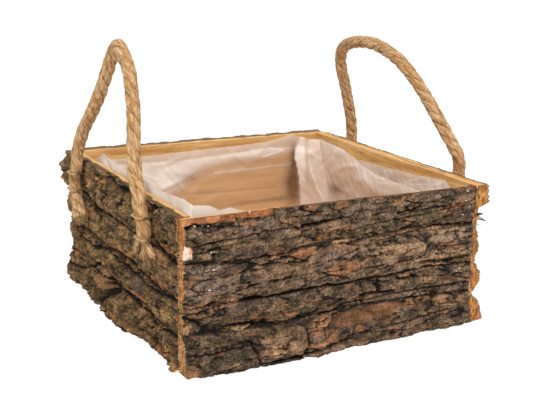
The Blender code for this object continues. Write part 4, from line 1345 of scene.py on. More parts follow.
def curve_through(route, spacing):
    """Points at an even spacing along a smooth curve through a route."""
    ends = [2 * route[0] - route[1], *route, 2 * route[-1] - route[-2]]
    fine = []
    for a, b, c, d in zip(ends, ends[1:], ends[2:], ends[3:]):
        for part in range(CURVE_STEPS):
            t = part / CURVE_STEPS
            fine.append(
                0.5 * (2 * b + (c - a) * t + (2 * a - 5 * b + 4 * c - d) * t * t
                       + (3 * b - a - 3 * c + d) * t * t * t)
            )
    fine = np.array([*fine, route[-1]])
    along = np.concatenate([[0], np.cumsum(np.linalg.norm(np.diff(fine, axis=0), axis=1))])
    count = max(2, round(along[-1] / spacing))
    even = np.linspace(0, along[-1], count + 1)
    points = np.stack([np.interp(even, along, fine[:, n]) for n in range(3)], axis=1)
    for _ in range(CURVE_ROUNDS):
        points[1:-1] = (points[:-2] + 2 * points[1:-1] + points[2:]) / 4
    return points


def frames_along(points):
    """Tangents and two turning-free cross directions along points."""
    ahead = unit(np.gradient(points, axis=0))
    side = np.zeros_like(ahead)
    first = np.cross(ahead[0], (1.0, 0.0, 0.0))
    side[0] = unit(first)
    for n in range(1, len(points)):
        s = side[n - 1] - ahead[n] * (side[n - 1] @ ahead[n])
        side[n] = unit(s)
    return ahead, side, np.cross(ahead, side)


def tube(points, side, other, radius, around):
    """Points round a line, at a radius that may differ at each of them."""
    return points[:, None] + radius[..., None] * (
        np.cos(around)[..., None] * side[:, None] + np.sin(around)[..., None] * other[:, None]
    )


def tube_quads(shape):
    """Faces of a tube, and its point numbers."""
    index = np.arange(shape[0] * shape[1]).reshape(shape)
    return grid_quads(wrap(index))[:, ::-1], index


# Loose strands into which a rope's front end parts: points of each in mm
FRAYED_END = {
    "left": (
        ((-148.6, -77, 108), (-148.4, -74, 98), (-148.0, -67, 88), (-147.4, -58, 79)),
        ((-149.2, -79, 107), (-149.4, -83, 99), (-149.2, -92, 92), (-148.6, -102, 86)),
    ),
}
STRAND_STEPS_ROUND = 26
STRAND_RADIUS = 3.0
BUNDLE_COUNT = 90
BUNDLE_HALF = 1.9
# A rope: steps round it, length of one turn of its strands, and of its yarns, in metres
ROPE_STEPS_ROUND = 60
STRAND_TURN = 0.037
YARN_TURN = 0.150
# Radius of a strand and how far its middle lies off the rope's middle, in mm
STRAND_BULGE = 3.60
STRAND_MIDDLE = 2.25
# How much wider each rope gets at its ends
SPLAYS = {"left": 0.30, "right": 0.20}
# Stray fibres along each rope, fibres at each end, and the fewer ones at an end that parts into
# strands
STRAY_FIBRES = 6500
END_FIBRES = 170
FRAYED_END_FIBRES = 30


def bundle(path, seed):
    """Loose fibres that run together along a short path."""
    path = np.array(path) * MM
    half = BUNDLE_HALF * MM
    rng = np.random.default_rng(seed)
    share = np.linspace(0, 1, len(path))
    start = rng.uniform(0.0, 0.55, BUNDLE_COUNT)
    stop = np.minimum(start + rng.uniform(0.35, 0.60, BUNDLE_COUNT), 1.0)
    first, last = (
        np.stack([np.interp(at, share, path[:, n]) for n in range(3)], axis=1)
        for at in (start, stop)
    )
    spread = rng.normal(size=(BUNDLE_COUNT, 3)) * (0.7, 0.5, 0.5) * half * 0.7
    ways = last - first + spread * 0.5
    length = np.linalg.norm(ways, axis=1) * rng.uniform(0.7, 1.02, BUNDLE_COUNT)
    thin = rng.uniform(0.08, 0.20, BUNDLE_COUNT) * MM
    return hairs(first + spread, ways, length, thin, seed + 1, 0.25)


def strand(name, path, material, seed):
    """A strand that has come loose from a rope's end, thinner towards its tip."""
    points = curve_through([Vector(place) * MM for place in path], 0.5 * MM)
    _, side, other = frames_along(points)
    steps = np.arange(STRAND_STEPS_ROUND) / STRAND_STEPS_ROUND * 2 * math.pi
    share, a = np.meshgrid(np.linspace(0, 1, len(points)), steps, indexing="ij")
    radius = STRAND_RADIUS - 0.7 * share ** 2 + 0.45 * perlin(a * 4 / math.pi, share * 5, seed, 8)
    radius += 0.28 * perlin(a * 8 / math.pi + 3 * share, share * 3, seed + 1, 16)
    radius = radius * np.sqrt(np.clip((1 - share) * 14, 0.15, 1)) * MM
    ring = tube(points, side, other, radius, a)
    quads, index = tube_quads(a.shape)
    mesh = new_mesh(name, ring.reshape(-1, 3), quads, [list(index[0]), list(index[-1])[::-1]])
    grooves = step(0.05, -0.35, perlin(a * 4 / math.pi + 4 * share, share * 4, seed + 2, 8))
    # Painted shade in the strand's grooves, in both shares
    shares = np.stack([0.55 * grooves, grooves, grooves * 0], axis=-1)
    paint(mesh, "rope_map", shares.reshape(-1, 3))
    twist = a + 2 * share
    fibre = np.stack([radius * np.cos(twist), radius * np.sin(twist), share * 0.030], axis=-1)
    paint(mesh, "rope_fibre", fibre.reshape(-1, 3))
    return add(name, mesh, material)


def twisted_radius(side_name, s, a, length, seed):
    """Radius of a rope at places along and round it, with the painted shade between its strands and
    where its yarns sink, as shares.
    """
    lay = a + 2 * math.pi * s / STRAND_TURN + 0.35 * ripple(s, 0.030, seed + 9)
    third = math.pi / 3
    local = (lay + third) % (2 * third) - third
    bulge, middle = STRAND_BULGE * MM, STRAND_MIDDLE * MM
    across = np.maximum(bulge ** 2 - (middle * np.sin(local)) ** 2, 0)
    radius = middle * np.cos(local) + np.sqrt(across)

    # Grooves, shut in places, with their painted shade, and yarns
    shut = step(-0.6, 0.5, perlin(s / 0.012, a * 3 / math.pi, seed + 10))
    off = np.abs(local) / third
    radius += (0.965 * radius.max() - radius) * (0.45 + 0.35 * shut)
    radius -= (0.75 - 0.5 * shut) * MM * step(0.74, 1.0, off)
    groove_shade = step(0.70, 1.0, off) * (1 - 0.62 * shut)
    turns = a / (2 * math.pi) + s / YARN_TURN
    yarn = perlin(turns * 26, s / (9 * MM), seed + 1, 26)
    fine_yarn = perlin(turns * 52, s / (5 * MM), seed + 2, 52)
    radius += (0.26 * yarn + 0.16 * fine_yarn) * MM
    radius += 0.28 * MM * perlin(a * 3 / math.pi * 2, s / (4 * MM), seed + 3, 12)

    # Ends
    splay = step(0.016, 0.0, np.minimum(s, length - s))
    radius *= 1 + SPLAYS[side_name] * splay + 0.035 * ripple(s, 0.03, seed + 4)
    if side_name in FRAYED_END:
        radius *= 1 - 0.55 * step(0.018, 0.008, length - s)
    radius += splay * 0.5 * MM * perlin(a * 9 / math.pi * 2, s / (6 * MM), seed + 5, 36)
    return radius, np.clip(0.85 * groove_shade, 0, 1), np.clip(step(0.1, -0.5, yarn), 0, 1)


def end_caps(index, ends, first):
    """Triangles that close a tube's ends around two more points."""
    for number, (at, backwards) in enumerate(ends):
        ring = index[at]
        for a, b in zip(ring, np.roll(ring, -1)):
            face = [a, b, first + number]
            yield face[::-1] if backwards else face


def rope_body(side_name, material, points, frames, length, seed):
    """The rope itself, as a tube with three strands, and the places of its points."""
    ahead, side, other = frames
    last = len(points) - 1
    along = np.linspace(0, length, len(points))
    theta = np.arange(ROPE_STEPS_ROUND) / ROPE_STEPS_ROUND * 2 * math.pi
    s, a = np.meshgrid(along, theta, indexing="ij")
    radius, groove_shade, yarn = twisted_radius(side_name, s, a, length, seed)
    ring = tube(points, side, other, radius, a)
    ragged = 1.6 * MM * perlin(a * 8 / math.pi, s * 0 + 0.5, seed + 6, 16)
    middles = []
    for at, way in ((0, -1), (last, 1)):
        ring[at] += way * (ragged[at] + 1.0 * MM)[:, None] * ahead[at]
        middles.append(points[at] + way * 0.4 * MM * ahead[at])
    quads, index = tube_quads(a.shape)
    caps = list(end_caps(index, ((0, True), (last, False)), a.size))
    verts = np.concatenate([ring.reshape(-1, 3), middles])
    mesh = new_mesh(f"{side_name}_rope", verts, quads, caps)
    shares = np.stack([groove_shade.ravel(), yarn.ravel(), groove_shade.ravel() * 0], axis=1)
    # The middles of the end caps get painted shade too
    paint(mesh, "rope_map", np.concatenate([shares, [[0.8, 0.5, 0]] * 2]))
    twist = a + 2 * math.pi * s / YARN_TURN
    fibre = np.stack([radius * np.cos(twist), radius * np.sin(twist), s], axis=-1).reshape(-1, 3)
    paint(mesh, "rope_fibre", np.concatenate([fibre, np.zeros((2, 3))]))
    return add(mesh.name, mesh, material), ring, theta


def stray_hairs(rng, ring, theta, frames, seed):
    """Fibres that stand off a rope all along it."""
    ahead, side, other = frames
    count = STRAY_FIBRES
    n = rng.integers(0, len(ring), count)
    m = rng.integers(0, len(theta), count)
    out = np.cos(theta[m])[:, None] * side[n] + np.sin(theta[m])[:, None] * other[n]
    roots = ring[n, m] - out * 0.2 * MM
    sign = rng.choice((-1.0, 1.0), count)[:, None]
    cross = np.cross(ahead[n], out)
    way = ahead[n] * sign * rng.uniform(0.7, 1.3, (count, 1))
    way += out * rng.uniform(0.02, 0.50, (count, 1))
    way += cross * rng.uniform(-0.5, 0.5, (count, 1))
    size = rng.uniform(1.0, 3.6, count) * MM
    size[rng.random(count) < 0.03] *= 1.9
    thin = rng.uniform(0.040, 0.085, count) * MM
    return hairs(roots, way, size, thin, seed + 7, 0.6)


def end_hairs(rng, count, point, at, sign, outward, frames, seed):
    """Fibres that splay from a rope's end, none of them towards the wall."""
    ahead, side, other = (axis[at] for axis in frames)
    r = ROPE_RADIUS * 1.15 * np.sqrt(rng.random(count))
    t = rng.uniform(0, 2 * math.pi, count)
    out = np.cos(t)[:, None] * side + np.sin(t)[:, None] * other
    roots = point + r[:, None] * out - sign * ahead * 2 * MM
    way = rng.uniform(0.0, 0.35, (count, 1)) + 0.25 * r[:, None] / ROPE_RADIUS
    way = sign * ahead + out * way
    away = np.array((outward, 0.0, 0.0))
    way -= away * np.minimum(way @ away * outward, 0)[:, None] * outward
    size = rng.uniform(3.0, 8.5, count) * MM
    thin = rng.uniform(0.10, 0.30, count) * MM
    return hairs(roots, way, size, thin, seed, 0.35)


def rope(side_name, jute, stray_jute):
    """A three-strand jute rope with its yarns, splayed ends, loose strands and stray fibres."""
    handle = HANDLES[side_name]
    outward = handle["out"]
    seed = 5000 if side_name == "left" else 6000
    points = curve_through(route_of(handle), 0.6 * MM)
    frames = frames_along(points)
    length = np.linalg.norm(np.diff(points, axis=0), axis=1).sum()
    thing, ring, theta = rope_body(side_name, jute, points, frames, length, seed)

    rng = np.random.default_rng(seed)
    paths = FRAYED_END.get(side_name, ())
    last = len(points) - 1
    fuzz = [stray_hairs(rng, ring, theta, frames, seed)]
    for at, sign in ((0, -1.0), (last, 1.0)):
        count = FRAYED_END_FIBRES if at and paths else END_FIBRES
        fuzz.append(end_hairs(rng, count, points[at], at, sign, outward, frames, seed + 8 + at))
    fuzz += [bundle(path, seed + 20 + number) for number, path in enumerate(paths)]
    verts, quads = join(fuzz)
    floor_x = SIDE / 2 + BARK + 0.2 * MM
    beside = outward * np.maximum(outward * verts[:, 0], floor_x)
    verts[:, 0] = np.where(verts[:, 2] < HEIGHT, beside, verts[:, 0])
    strands = [
        strand(f"{side_name}_rope_strand_{number + 1}", path, jute, seed + 30 + number)
        for number, path in enumerate(paths)
    ]
    name = f"{side_name}_rope_fibres"
    stray = add(name, new_mesh(name, verts, quads), stray_jute)
    for piece in (thing, stray, *strands):
        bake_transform(piece)
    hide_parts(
        f"{side_name}_rope_arch", f"{side_name}_rope_tail_rear",
        f"{side_name}_rope_tail_front",
    )
    print(f"{side_name} rope is {length:.4f} m long")


# Film

# Upper edge of the film, round from the front left corner: share of the way round,
# height in mm, distance in mm that it leans in from the wall
FILM_EDGE = (
    (0.000, 131.0, 2.0), (0.0125, 130.0, 2.5), (0.018, 127.0, 3.0), (0.021, 125.0, 3.0),
    (0.033, 126.0, 3.0), (0.045, 122.0, 3.0), (0.055, 118.0, 2.5), (0.080, 116.5, 2.0),
    (0.130, 114.0, 1.5), (0.220, 112.0, 2.0), (0.262, 111.0, 5.0), (0.280, 107.5, 9.0),
    (0.310, 106.5, 9.0), (0.340, 106.5, 10.0), (0.362, 107.5, 11.5), (0.389, 112.0, 13.5),
    (0.404, 117.5, 14.0), (0.420, 123.0, 15.0), (0.444, 124.0, 15.5), (0.467, 125.0, 15.5),
    (0.489, 125.0, 15.0), (0.498, 124.0, 15.0), (0.503, 123.0, 9.0), (0.508, 123.0, 4.0),
    (0.520, 124.0, 2.5), (0.527, 125.5, 2.5), (0.535, 125.0, 2.5), (0.543, 123.0, 2.5),
    (0.558, 120.0, 2.0), (0.578, 118.5, 1.5), (0.643, 116.5, 1.5), (0.692, 115.0, 1.5),
    (0.730, 114.5, 2.0), (0.752, 115.0, 3.0), (0.770, 119.0, 3.0), (0.785, 125.0, 2.5),
    (0.801, 132.0, 2.0), (0.830, 130.0, 2.0), (0.862, 128.5, 2.0), (0.906, 129.0, 2.0),
    (0.947, 129.0, 2.0), (0.986, 133.0, 1.5), (1.000, 131.0, 2.0),
)

# Upper edge of the second layer beside the right wall, in the same way
FILM_FLAP = (
    (0.253, 116.0, 1.0), (0.262, 121.0, 1.0), (0.271, 122.5, 1.0), (0.285, 120.5, 2.0),
    (0.305, 119.0, 3.0), (0.325, 117.0, 2.0), (0.345, 116.5, 3.5), (0.3625, 114.5, 2.0),
    (0.385, 113.5, 1.0), (0.405, 113.0, 1.0), (0.425, 110.0, 1.0),
)

# Folds of the film as the photograph shows them, in pixels.
# Milky down to: points of the lower boundary of the white zone on the rear wall
FILM_MILKY = (
    (100, 215), (142, 200), (160, 196), (172, 189), (182, 183), (192, 174), (202, 167.5),
    (215, 162.5), (235, 159.5), (255, 157), (275, 154), (292, 150),
)
# Band under the rear edge where the film lies single again
FILM_BAND = (
    (130, 165), (145, 163), (180, 161), (200, 158), (222, 155), (240, 152.5), (265, 148),
    (288, 147),
)
# Left edge of the film that hangs over the rear right corner: row, column
FLAP_EDGE = (
    (134, 300.5), (140, 300), (145, 297), (152, 295), (158, 294.5), (163, 296), (170, 298),
    (180, 299), (200, 300),
)
# Lines: points, half width, whiteness
FILM_LINES = (
    (((216, 173), (228, 171.5), (246, 169.5), (264, 167), (284, 164.5), (292, 163.5)), 1.9, 0.50),
    (((196, 177), (207, 175), (218, 172.5)), 2.2, 0.22),
    (((162, 168), (164, 178), (170, 184), (181, 187.5), (194, 189.5)), 4.6, 0.24),
    (((144, 174), (152, 177.5), (163, 180)), 0.7, 0.55),
    (((268, 147.5), (276, 149), (284, 149.5), (278, 152), (262, 157)), 0.6, 0.65),
    (((300, 142), (297, 146), (295.5, 152), (295.5, 158), (298, 168), (300, 180)), 0.8, 0.45),
    (((306, 151), (311, 170), (317, 187), (324, 200)), 0.8, 0.55),
    (((301, 171), (304, 180)), 0.6, 0.55),
    (((335, 151), (332, 158), (327, 165)), 0.9, 0.55),
    (((330, 157), (321, 168), (325, 163), (326, 170), (331, 184)), 0.7, 0.45),
    (((314, 152), (316, 161)), 0.8, 0.35),
    (((361, 166), (370, 171.5), (377, 177.5), (385, 178.5)), 0.9, 0.65),
    (((380, 183), (400, 184), (436, 184.5)), 0.8, 0.45),
    (((384, 172), (389, 169.5), (393, 174)), 0.7, 0.55),
    (((405, 181), (414, 180), (425, 176.5)), 0.7, 0.60),
    (((428, 178), (428.5, 184)), 0.6, 0.45),
    (((437, 184), (444, 181), (450, 180)), 1.0, 0.65),
)
# Shades: centre, half sizes, depth
FILM_SHADES = (
    ((293, 184), 8.5, 22, 0.90), ((336, 189), 9, 7, 0.55), ((189, 175.5), 15, 4.5, 0.30),
    ((294, 154), 4, 14, 0.60), ((345, 201), 25, 7, 0.16), ((372, 192), 16, 9, 0.08),
)
# Shares of the way round the box: from the end of the front wall to where the left wall's film
# turns towards the camera, and the part in which the film hangs over the rear right corner
SEEN_FROM, SEEN_TO = 0.25, 0.775
FLAP_TURN, FLAP_TO = 0.45, 0.56
# Steps of the film along each wall, round each corner and up, rings of its floor
FILM_STEPS_WALL = 150
FILM_STEPS_CORNER = 24
FILM_STEPS_UP = 84
FLOOR_RINGS = 9
# Lowest part of the second layer, in mm, and its steps up
FLAP_BOTTOM = 88.0
FLAP_STEPS_UP = 30


def film_cover(places, p):
    """Whiteness, creases and shade of the film at places round the box, with painted light on the
    left wall's strip and painted shade on the front wall's strip.
    """
    u, v = in_photo(places)
    z = places[..., 2] / MM
    seen = (p > SEEN_FROM) & (p < SEEN_TO)
    by_flap = u - np.interp(v, *zip(*FLAP_EDGE)) + 0.8 * ripple(v, 5, 923)
    flap = np.where(p < FLAP_TURN, 1.0, step(-1.4, 1.4, by_flap)) * (p > SEEN_FROM) * (p < FLAP_TO)

    # Rear wall, the flap over its right corner, and the two near walls
    milky = np.interp(u + 3.0 * perlin(u / 21, v / 9, 921), *zip(*FILM_MILKY)) - v
    band = v - np.interp(u, *zip(*FILM_BAND))
    soft = 6.5 + 9.0 * hump(u - 186, 22)
    rear = 0.24 + 0.12 * step(14, 2, -milky) * step(300, 270, u) + 0.54 * step(-soft, soft, milky)
    rear -= 0.24 * step(1.0, -1.2, band) * step(-3.0, 3.0, milky)
    fold = 0.84 - 0.16 * step(168, 198, v - 0.10 * (u - 330))
    fold += 0.16 * step(318, 300, u) * step(172, 150, v)
    fold += 0.10 * perlin(u / 16, v / 24, 922)
    cover = rear * (1 - flap) + fold * flap
    near = (p >= SEEN_TO) | (p <= SEEN_FROM)
    cover = np.where(near, 0.30 + 0.66 * step(104, 118, z), cover)

    crease_and_painted_light = np.zeros(p.shape)
    for points, half, white in FILM_LINES:
        crease_and_painted_light = np.maximum(crease_and_painted_light, white * hump(polyline_distance(u, v, points), half))
    shade = np.zeros(p.shape)
    for middle, half_u, half_v, depth in FILM_SHADES:
        shade += depth * blob(u, v, middle, half_u, half_v)
    shade *= 1 - flap * step(312, 302, u) * 0.9
    # On the near walls: painted light whitens the left wall's strip, and painted shade darkens the
    # front wall's strip
    crease_and_painted_light = np.where(seen, crease_and_painted_light, 0.40 * (p >= SEEN_TO))
    shade = np.where(seen, shade, 0.22 * (p < SEEN_FROM))
    return cover, crease_and_painted_light, shade


class FilmPath:
    """The line of the film round the box: places, the same places round the posts, the ways in
    from the wall, and the share of the way round."""

    def __init__(self, places, corners, ways, p):
        self.places = places
        self.corners = corners
        self.ways = ways
        self.p = p

    def part(self, chosen):
        return FilmPath(*(a[chosen] for a in (self.places, self.corners, self.ways, self.p)))


def film_path():
    wall = INNER - 0.6 * MM
    corner = 2 * (POST + TOUCH_GAP) + 2.0 * MM
    rows = []
    for number, name in enumerate(WALLS):
        turn = wall_turn(name)
        for n in range(FILM_STEPS_WALL):
            t = n / FILM_STEPS_WALL
            x = (-wall + corner) * (1 - t) + (wall - corner) * t
            place = turn @ (x, -wall, 0.0)
            p = (number + 0.5 + x / wall / 2) / 4
            rows.append((place, place, turn @ (0.0, 1.0, 0.0), p))
        for n in range(FILM_STEPS_CORNER):
            t = n / FILM_STEPS_CORNER
            ease = min(1.0, 4 * min(t, 1 - t) + 0.25)
            way = (-ease, 1.0, 0.0) if t < 0.5 else (-1.0, ease, 0.0)
            before, past = min(2 * t, 1.0) * corner, max(2 * t - 1, 0.0) * corner
            place = turn @ (wall - corner + corner * t, -wall + corner * t, 0.0)
            at_post = turn @ (wall - corner + before, -wall + past, 0.0)
            p = (number + 1 + (before - corner + past) / wall / 2) / 4
            rows.append((place, at_post, turn @ unit(np.array(way)), p))
    places, corners, ways, p = (np.array(column) for column in zip(*rows))
    for _ in range(4):
        ways = unit(np.roll(ways, 1, 0) + 2 * ways + np.roll(ways, -1, 0))
        corners = (np.roll(corners, 1, 0) + 2 * corners + np.roll(corners, -1, 0)) / 4
    return FilmPath(places, corners, ways, p % 1.0)


def film_rows(path, edge, up, floor, wander):
    """Rows of the film from its lower edge to its upper one, with their folds, in metres."""
    at, heights, leans = zip(*edge)
    height = np.interp(path.p, at, heights)
    lean = np.interp(path.p, at, leans)
    steps = np.linalg.norm(np.diff(path.places, axis=0), axis=1)
    around = np.concatenate([[0], np.cumsum(steps)]) / MM
    height += wander * ripple(around, 7, 901)
    z = floor + (height[:, None] - floor) * up[None, :]
    r = np.repeat(around[:, None], len(up), axis=1)
    low = height[:, None] - z
    folds = 1.6 * np.clip(0.75 - np.abs(perlin(r / 46 + z / 60, z / 30, 903)) * 2.2, 0, 1)
    folds += 0.8 * np.clip(0.7 - np.abs(perlin(r / 19 - z / 40, z / 26, 904)) * 2.5, 0, 1)
    near_top = step(0.30, 1.0, up)[None, :]
    reach = 8 + 26 * step(5, 14, lean)[:, None]
    inset = 0.3 + folds * step(0.0, 0.1, up)[None, :] * (1 - 0.6 * hump(low, 6))
    inset += lean[:, None] * (0.45 * near_top + 0.55 * hump(low, reach))
    over_post = step(POST_TOP / MM - 3, POST_TOP / MM + 6, z)
    over_post = (over_post * step(0.08, 0.20, np.abs(path.p - 0.40))[:, None])[..., None]
    verts = path.places[:, None] + (path.corners - path.places)[:, None] * over_post
    verts += path.ways[:, None] * inset[..., None] * MM
    verts[..., 2] = z * MM
    return verts


def film_walls(path):
    """Film up the four walls: places and colour shares."""
    up = np.linspace(0, 1, FILM_STEPS_UP + 1)
    up = 0.35 * up + 0.65 * (1 - (1 - up) ** 1.7)
    order = np.argsort(path.p)
    rows = film_rows(path.part(order), FILM_EDGE, up, FILM_FLOOR / MM, 0.4)[np.argsort(order)]
    return rows, np.stack(film_cover(rows, np.repeat(path.p[:, None], len(up), axis=1)), axis=-1)


def film_floor(outline, inner, base):
    """Rings of film from the lowest row towards the middle: places, faces and the last ring."""
    verts, quads = [], []
    for n in range(1, FLOOR_RINGS + 1):
        size = 1 - n / (FLOOR_RINGS + 1.2)
        ring = outline * (size, size, 1)
        waves = 0.35 * MM * np.abs(perlin(ring[:, 0] / 0.02, ring[:, 1] / 0.02, 905))
        ring[:, 2] = FILM_FLOOR + waves * (1 - (n / FLOOR_RINGS) ** 3)
        now = base + np.arange(len(outline))
        quads.append(grid_quads(wrap(np.stack([inner, now]))))
        verts.append(ring)
        inner, base = now, base + len(outline)
    return np.concatenate(verts), np.concatenate(quads), inner


def film_flap(path):
    """Second layer beside the right wall: places and colour shares."""
    inside = np.where((path.p > FILM_FLAP[0][0]) & (path.p < FILM_FLAP[-1][0]))[0]
    part = path.part(inside[np.argsort(path.p[inside])])
    up = np.linspace(0, 1, FLAP_STEPS_UP + 1)
    flap = film_rows(part, FILM_FLAP, up, FLAP_BOTTOM, 0.5)
    _, crease_and_painted_light, shade = film_cover(flap, np.repeat(part.p[:, None], len(up), axis=1))
    u, _ = in_photo(flap)
    return flap, np.stack([0.72 + 0.12 * step(400, 440, u), crease_and_painted_light, shade], axis=-1)


def film(material):
    """The liner: film on the floor, up the walls and over the posts, with a wavy upper edge."""
    path = film_path()
    walls, wall_map = film_walls(path)
    index = np.arange(walls.size // 3).reshape(walls.shape[:2])
    floor, floor_quads, inner = film_floor(walls[:, 0], index[:, 0], index.size)
    flap, flap_map = film_flap(path)
    flap_index = index.size + len(floor) + np.arange(flap.size // 3).reshape(flap.shape[:2])
    verts = [walls.reshape(-1, 3), floor, flap.reshape(-1, 3)]
    quads = [grid_quads(wrap(index, 0)), floor_quads, grid_quads(flap_index)]
    floor_map = np.tile([0.30, 0.0, 0.0], (len(floor), 1))
    maps = [wall_map.reshape(-1, 3), floor_map, flap_map.reshape(-1, 3)]
    mesh = new_mesh("film", np.concatenate(verts), np.concatenate(quads), [list(inner)[::-1]])
    paint(mesh, "film_map", np.clip(np.concatenate(maps), 0, 1))
    thing = add("film", mesh, material, "basket")
    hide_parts("film_liner")


# Splinters, saw fibres, staple crowns and a knot

# Splinters: root in metres, way, length in mm, thickness in mm
SPLINTERS = (
    ((-0.1397, -0.1350, 0.0042), (-1.0, -0.1, -0.03), 7.0, 0.55),
    ((-0.1397, -0.1340, 0.0060), (-1.0, -0.3, 0.10), 4.0, 0.40),
    ((0.1320, -0.1397, 0.1005), (1.0, -0.12, -0.08), 5.0, 0.65),
    ((0.1315, -0.1416, 0.0965), (1.0, -0.05, -0.10), 7.0, 2.40),
    ((0.1320, -0.1405, 0.0905), (1.0, -0.08, -0.15), 7.0, 0.70),
    ((0.1345, -0.1397, 0.0640), (0.8, -0.40, 0.20), 4.0, 0.45),
)
# Dark splinters of bark at the front wall's right end, in the same way
BARK_SPLINTERS = (
    ((0.1330, -0.1410, 0.0990), (1.0, -0.08, 0.12), 6.0, 2.00),
    ((0.1335, -0.1410, 0.0962), (1.0, -0.08, -0.32), 9.0, 1.70),
)
# Long saw fibres at the left end of the front wall: lowest and highest place, number
SAW_TUFTS = ((0.084, 0.104, 60), (0.008, 0.028, 70), (0.040, 0.078, 25))


def end_fibres(rng, wall, at_x, way, count):
    """Short saw fibres on one end of a wall. At its inner end they stay short."""
    turn = wall_turn(wall)
    z = rng.uniform(0.003, HEIGHT - 0.004, count)
    y = -INNER - rng.uniform(0.0005, WOOD + 0.0005, count)
    if way > 0:
        y = -INNER - rng.uniform(0.002, WOOD + 0.001, count)
    roots = np.stack([np.full(count, at_x - way * 0.6 * MM), y, z], axis=1) @ turn.T
    ways = np.stack([
        way * rng.uniform(0.4, 1.0, count), rng.uniform(-0.5, 0.6, count),
        rng.uniform(-0.7, 0.7, count),
    ], axis=1) @ turn.T
    length = rng.uniform(0.8, 2.6, count) * MM
    length[rng.random(count) < 0.12] *= 2.0
    if way > 0:
        length = np.minimum(length, 1.1 * MM)
    return hairs(roots, ways, length, rng.uniform(0.05, 0.12, count) * MM, 78, 0.8)


def tuft(rng, low, high, count):
    """Long saw fibres between two heights of the front wall's left end."""
    z = rng.uniform(low, high, count)
    x = np.full(count, -SIDE / 2 + 0.5 * MM)
    roots = np.stack([x, rng.uniform(-0.1430, -0.1350, count), z], axis=1)
    ways = np.stack([
        np.full(count, -1.0), rng.uniform(-0.6, 0.1, count), rng.uniform(-0.5, 0.2, count),
    ], axis=1)
    length = rng.uniform(2.5, 6.0, count) * MM
    return hairs(roots, ways, length, np.full(count, 0.16 * MM), 79, 0.6)


def saw_fibres(material):
    rng = np.random.default_rng(77)
    sets = []
    for wall in WALLS:
        sets.append(end_fibres(rng, wall, -SIDE / 2, -1.0, 150 if wall == "front" else 90))
        sets.append(end_fibres(rng, wall, INNER, 1.0, 150))
    sets += [tuft(rng, *row) for row in SAW_TUFTS]
    for root, way, length, thick in SPLINTERS:
        row = (np.array([value]) for value in (root, way, length * MM, thick * MM))
        sets.append(hairs(*row, 5, 0.2))
    thing = add("saw_fibres", new_mesh("saw_fibres", *join(sets)), material, "basket")


def bark_splinters(material):
    roots, ways, lengths, thick = (np.array(values) for values in zip(*BARK_SPLINTERS))
    verts, quads = hairs(roots, ways, lengths * MM, thick * MM, 6, 0.1)
    thing = add("bark_splinters", new_mesh("bark_splinters", verts, quads), material, "basket")


# Bright crowns of staples seen in the front wall, in pixels, and their half sizes in mm
STAPLE_CROWNS = (
    (197, 228), (205.5, 228), (211, 228), (212, 253), (213.5, 270), (209, 290),
    (466.5, 200.5), (467.7, 191), (464, 215), (460, 268.6),
)
CROWN_HALF = (0.75, 0.35)
CROWN_DEPTH = 0.45
BOX_FACES = ((0, 1, 3, 2), (4, 6, 7, 5), (0, 4, 5, 1), (2, 3, 7, 6), (1, 5, 7, 3), (0, 2, 6, 4))


def points_of(thing):
    places = np.empty(len(thing.data.vertices) * 3, np.float32)
    thing.data.vertices.foreach_get("co", places)
    return places.reshape(-1, 3)


def staple_crowns(material, slabs):
    """Small bright wire crowns driven into the front wall near its ends."""
    cloud = np.concatenate([points_of(thing) for thing in slabs])
    cloud = cloud[cloud[:, 1] < -INNER - 6 * MM]
    verts, quads = [], []
    for number, (u, v) in enumerate(STAPLE_CROWNS):
        x, z = on_wall("front", u, v)
        gap = np.hypot(cloud[:, 0] - x * MM, cloud[:, 2] - z * MM)
        middle = np.array((x * MM, cloud[np.argsort(gap)[:5], 1].mean(), z * MM))
        tilt = 0.5 * math.sin(7.0 * number)
        across = np.array((math.cos(tilt), 0.0, math.sin(tilt))) * CROWN_HALF[0] * MM
        up = np.array((-math.sin(tilt), 0.0, math.cos(tilt))) * CROWN_HALF[1] * MM
        out = np.array((0.0, -CROWN_DEPTH, 0.0)) * MM
        quads.append(np.array(BOX_FACES) + len(verts))
        verts.extend(
            middle + a * across + b * up + c * out
            for a in (-1, 1) for b in (-1, 1) for c in (-2, 1)
        )
    mesh = new_mesh("staple_crowns", np.array(verts), np.concatenate(quads))
    add("staple_crowns", mesh, material, "basket")


# Pale stub of a knot at the front wall's left end: middle in pixels, half sizes, height and
# distance from the basket's middle in mm
KNOT = (188.0, 253.5)
KNOT_HALF = (3.2, 5.2)
KNOT_HEIGHT = 1.6
KNOT_OUT = 141.5


def knot(material):
    """A broken pale knot that stands out of the bark."""
    x, z = on_wall("front", *KNOT)
    steps = np.linspace(-1, 1, 25)
    a, b = np.meshgrid(steps, steps, indexing="ij")
    rise = np.clip(1 - a ** 6, 0, 1) ** 0.5 * np.clip(1 - b ** 6, 0, 1) ** 0.5
    rough = 1.3 * perlin(a * 2 + 5, b * 2, 961) + 0.8 * perlin(a * 6, b * 7, 962)
    wide = 1 - 0.30 * b + 0.25 * perlin(b * 3, b * 0, 963)
    verts = np.stack([
        x + KNOT_HALF[0] * a * wide,
        -KNOT_OUT - (KNOT_HEIGHT + 2.5 - 0.8 * a + rough) * rise,
        z + KNOT_HALF[1] * (b + 0.25 * perlin(a * 3, a * 0, 964)),
    ], axis=-1)
    index = np.arange(a.size).reshape(a.shape)
    mesh = new_mesh("pale_knot", verts.reshape(-1, 3) * MM, grid_quads(index))
    add("pale_knot", mesh, material, "basket")


# Light and surroundings

# Strength of the white world as light; the camera sees it at 1
WORLD_LIGHT = 0.62
# Strength of the floor's white, and how much of it the camera sees over the shadow
FLOOR_WHITE = 1.13
FLOOR_WHITE_SHARE = 0.82
FLOOR_HALF = 6
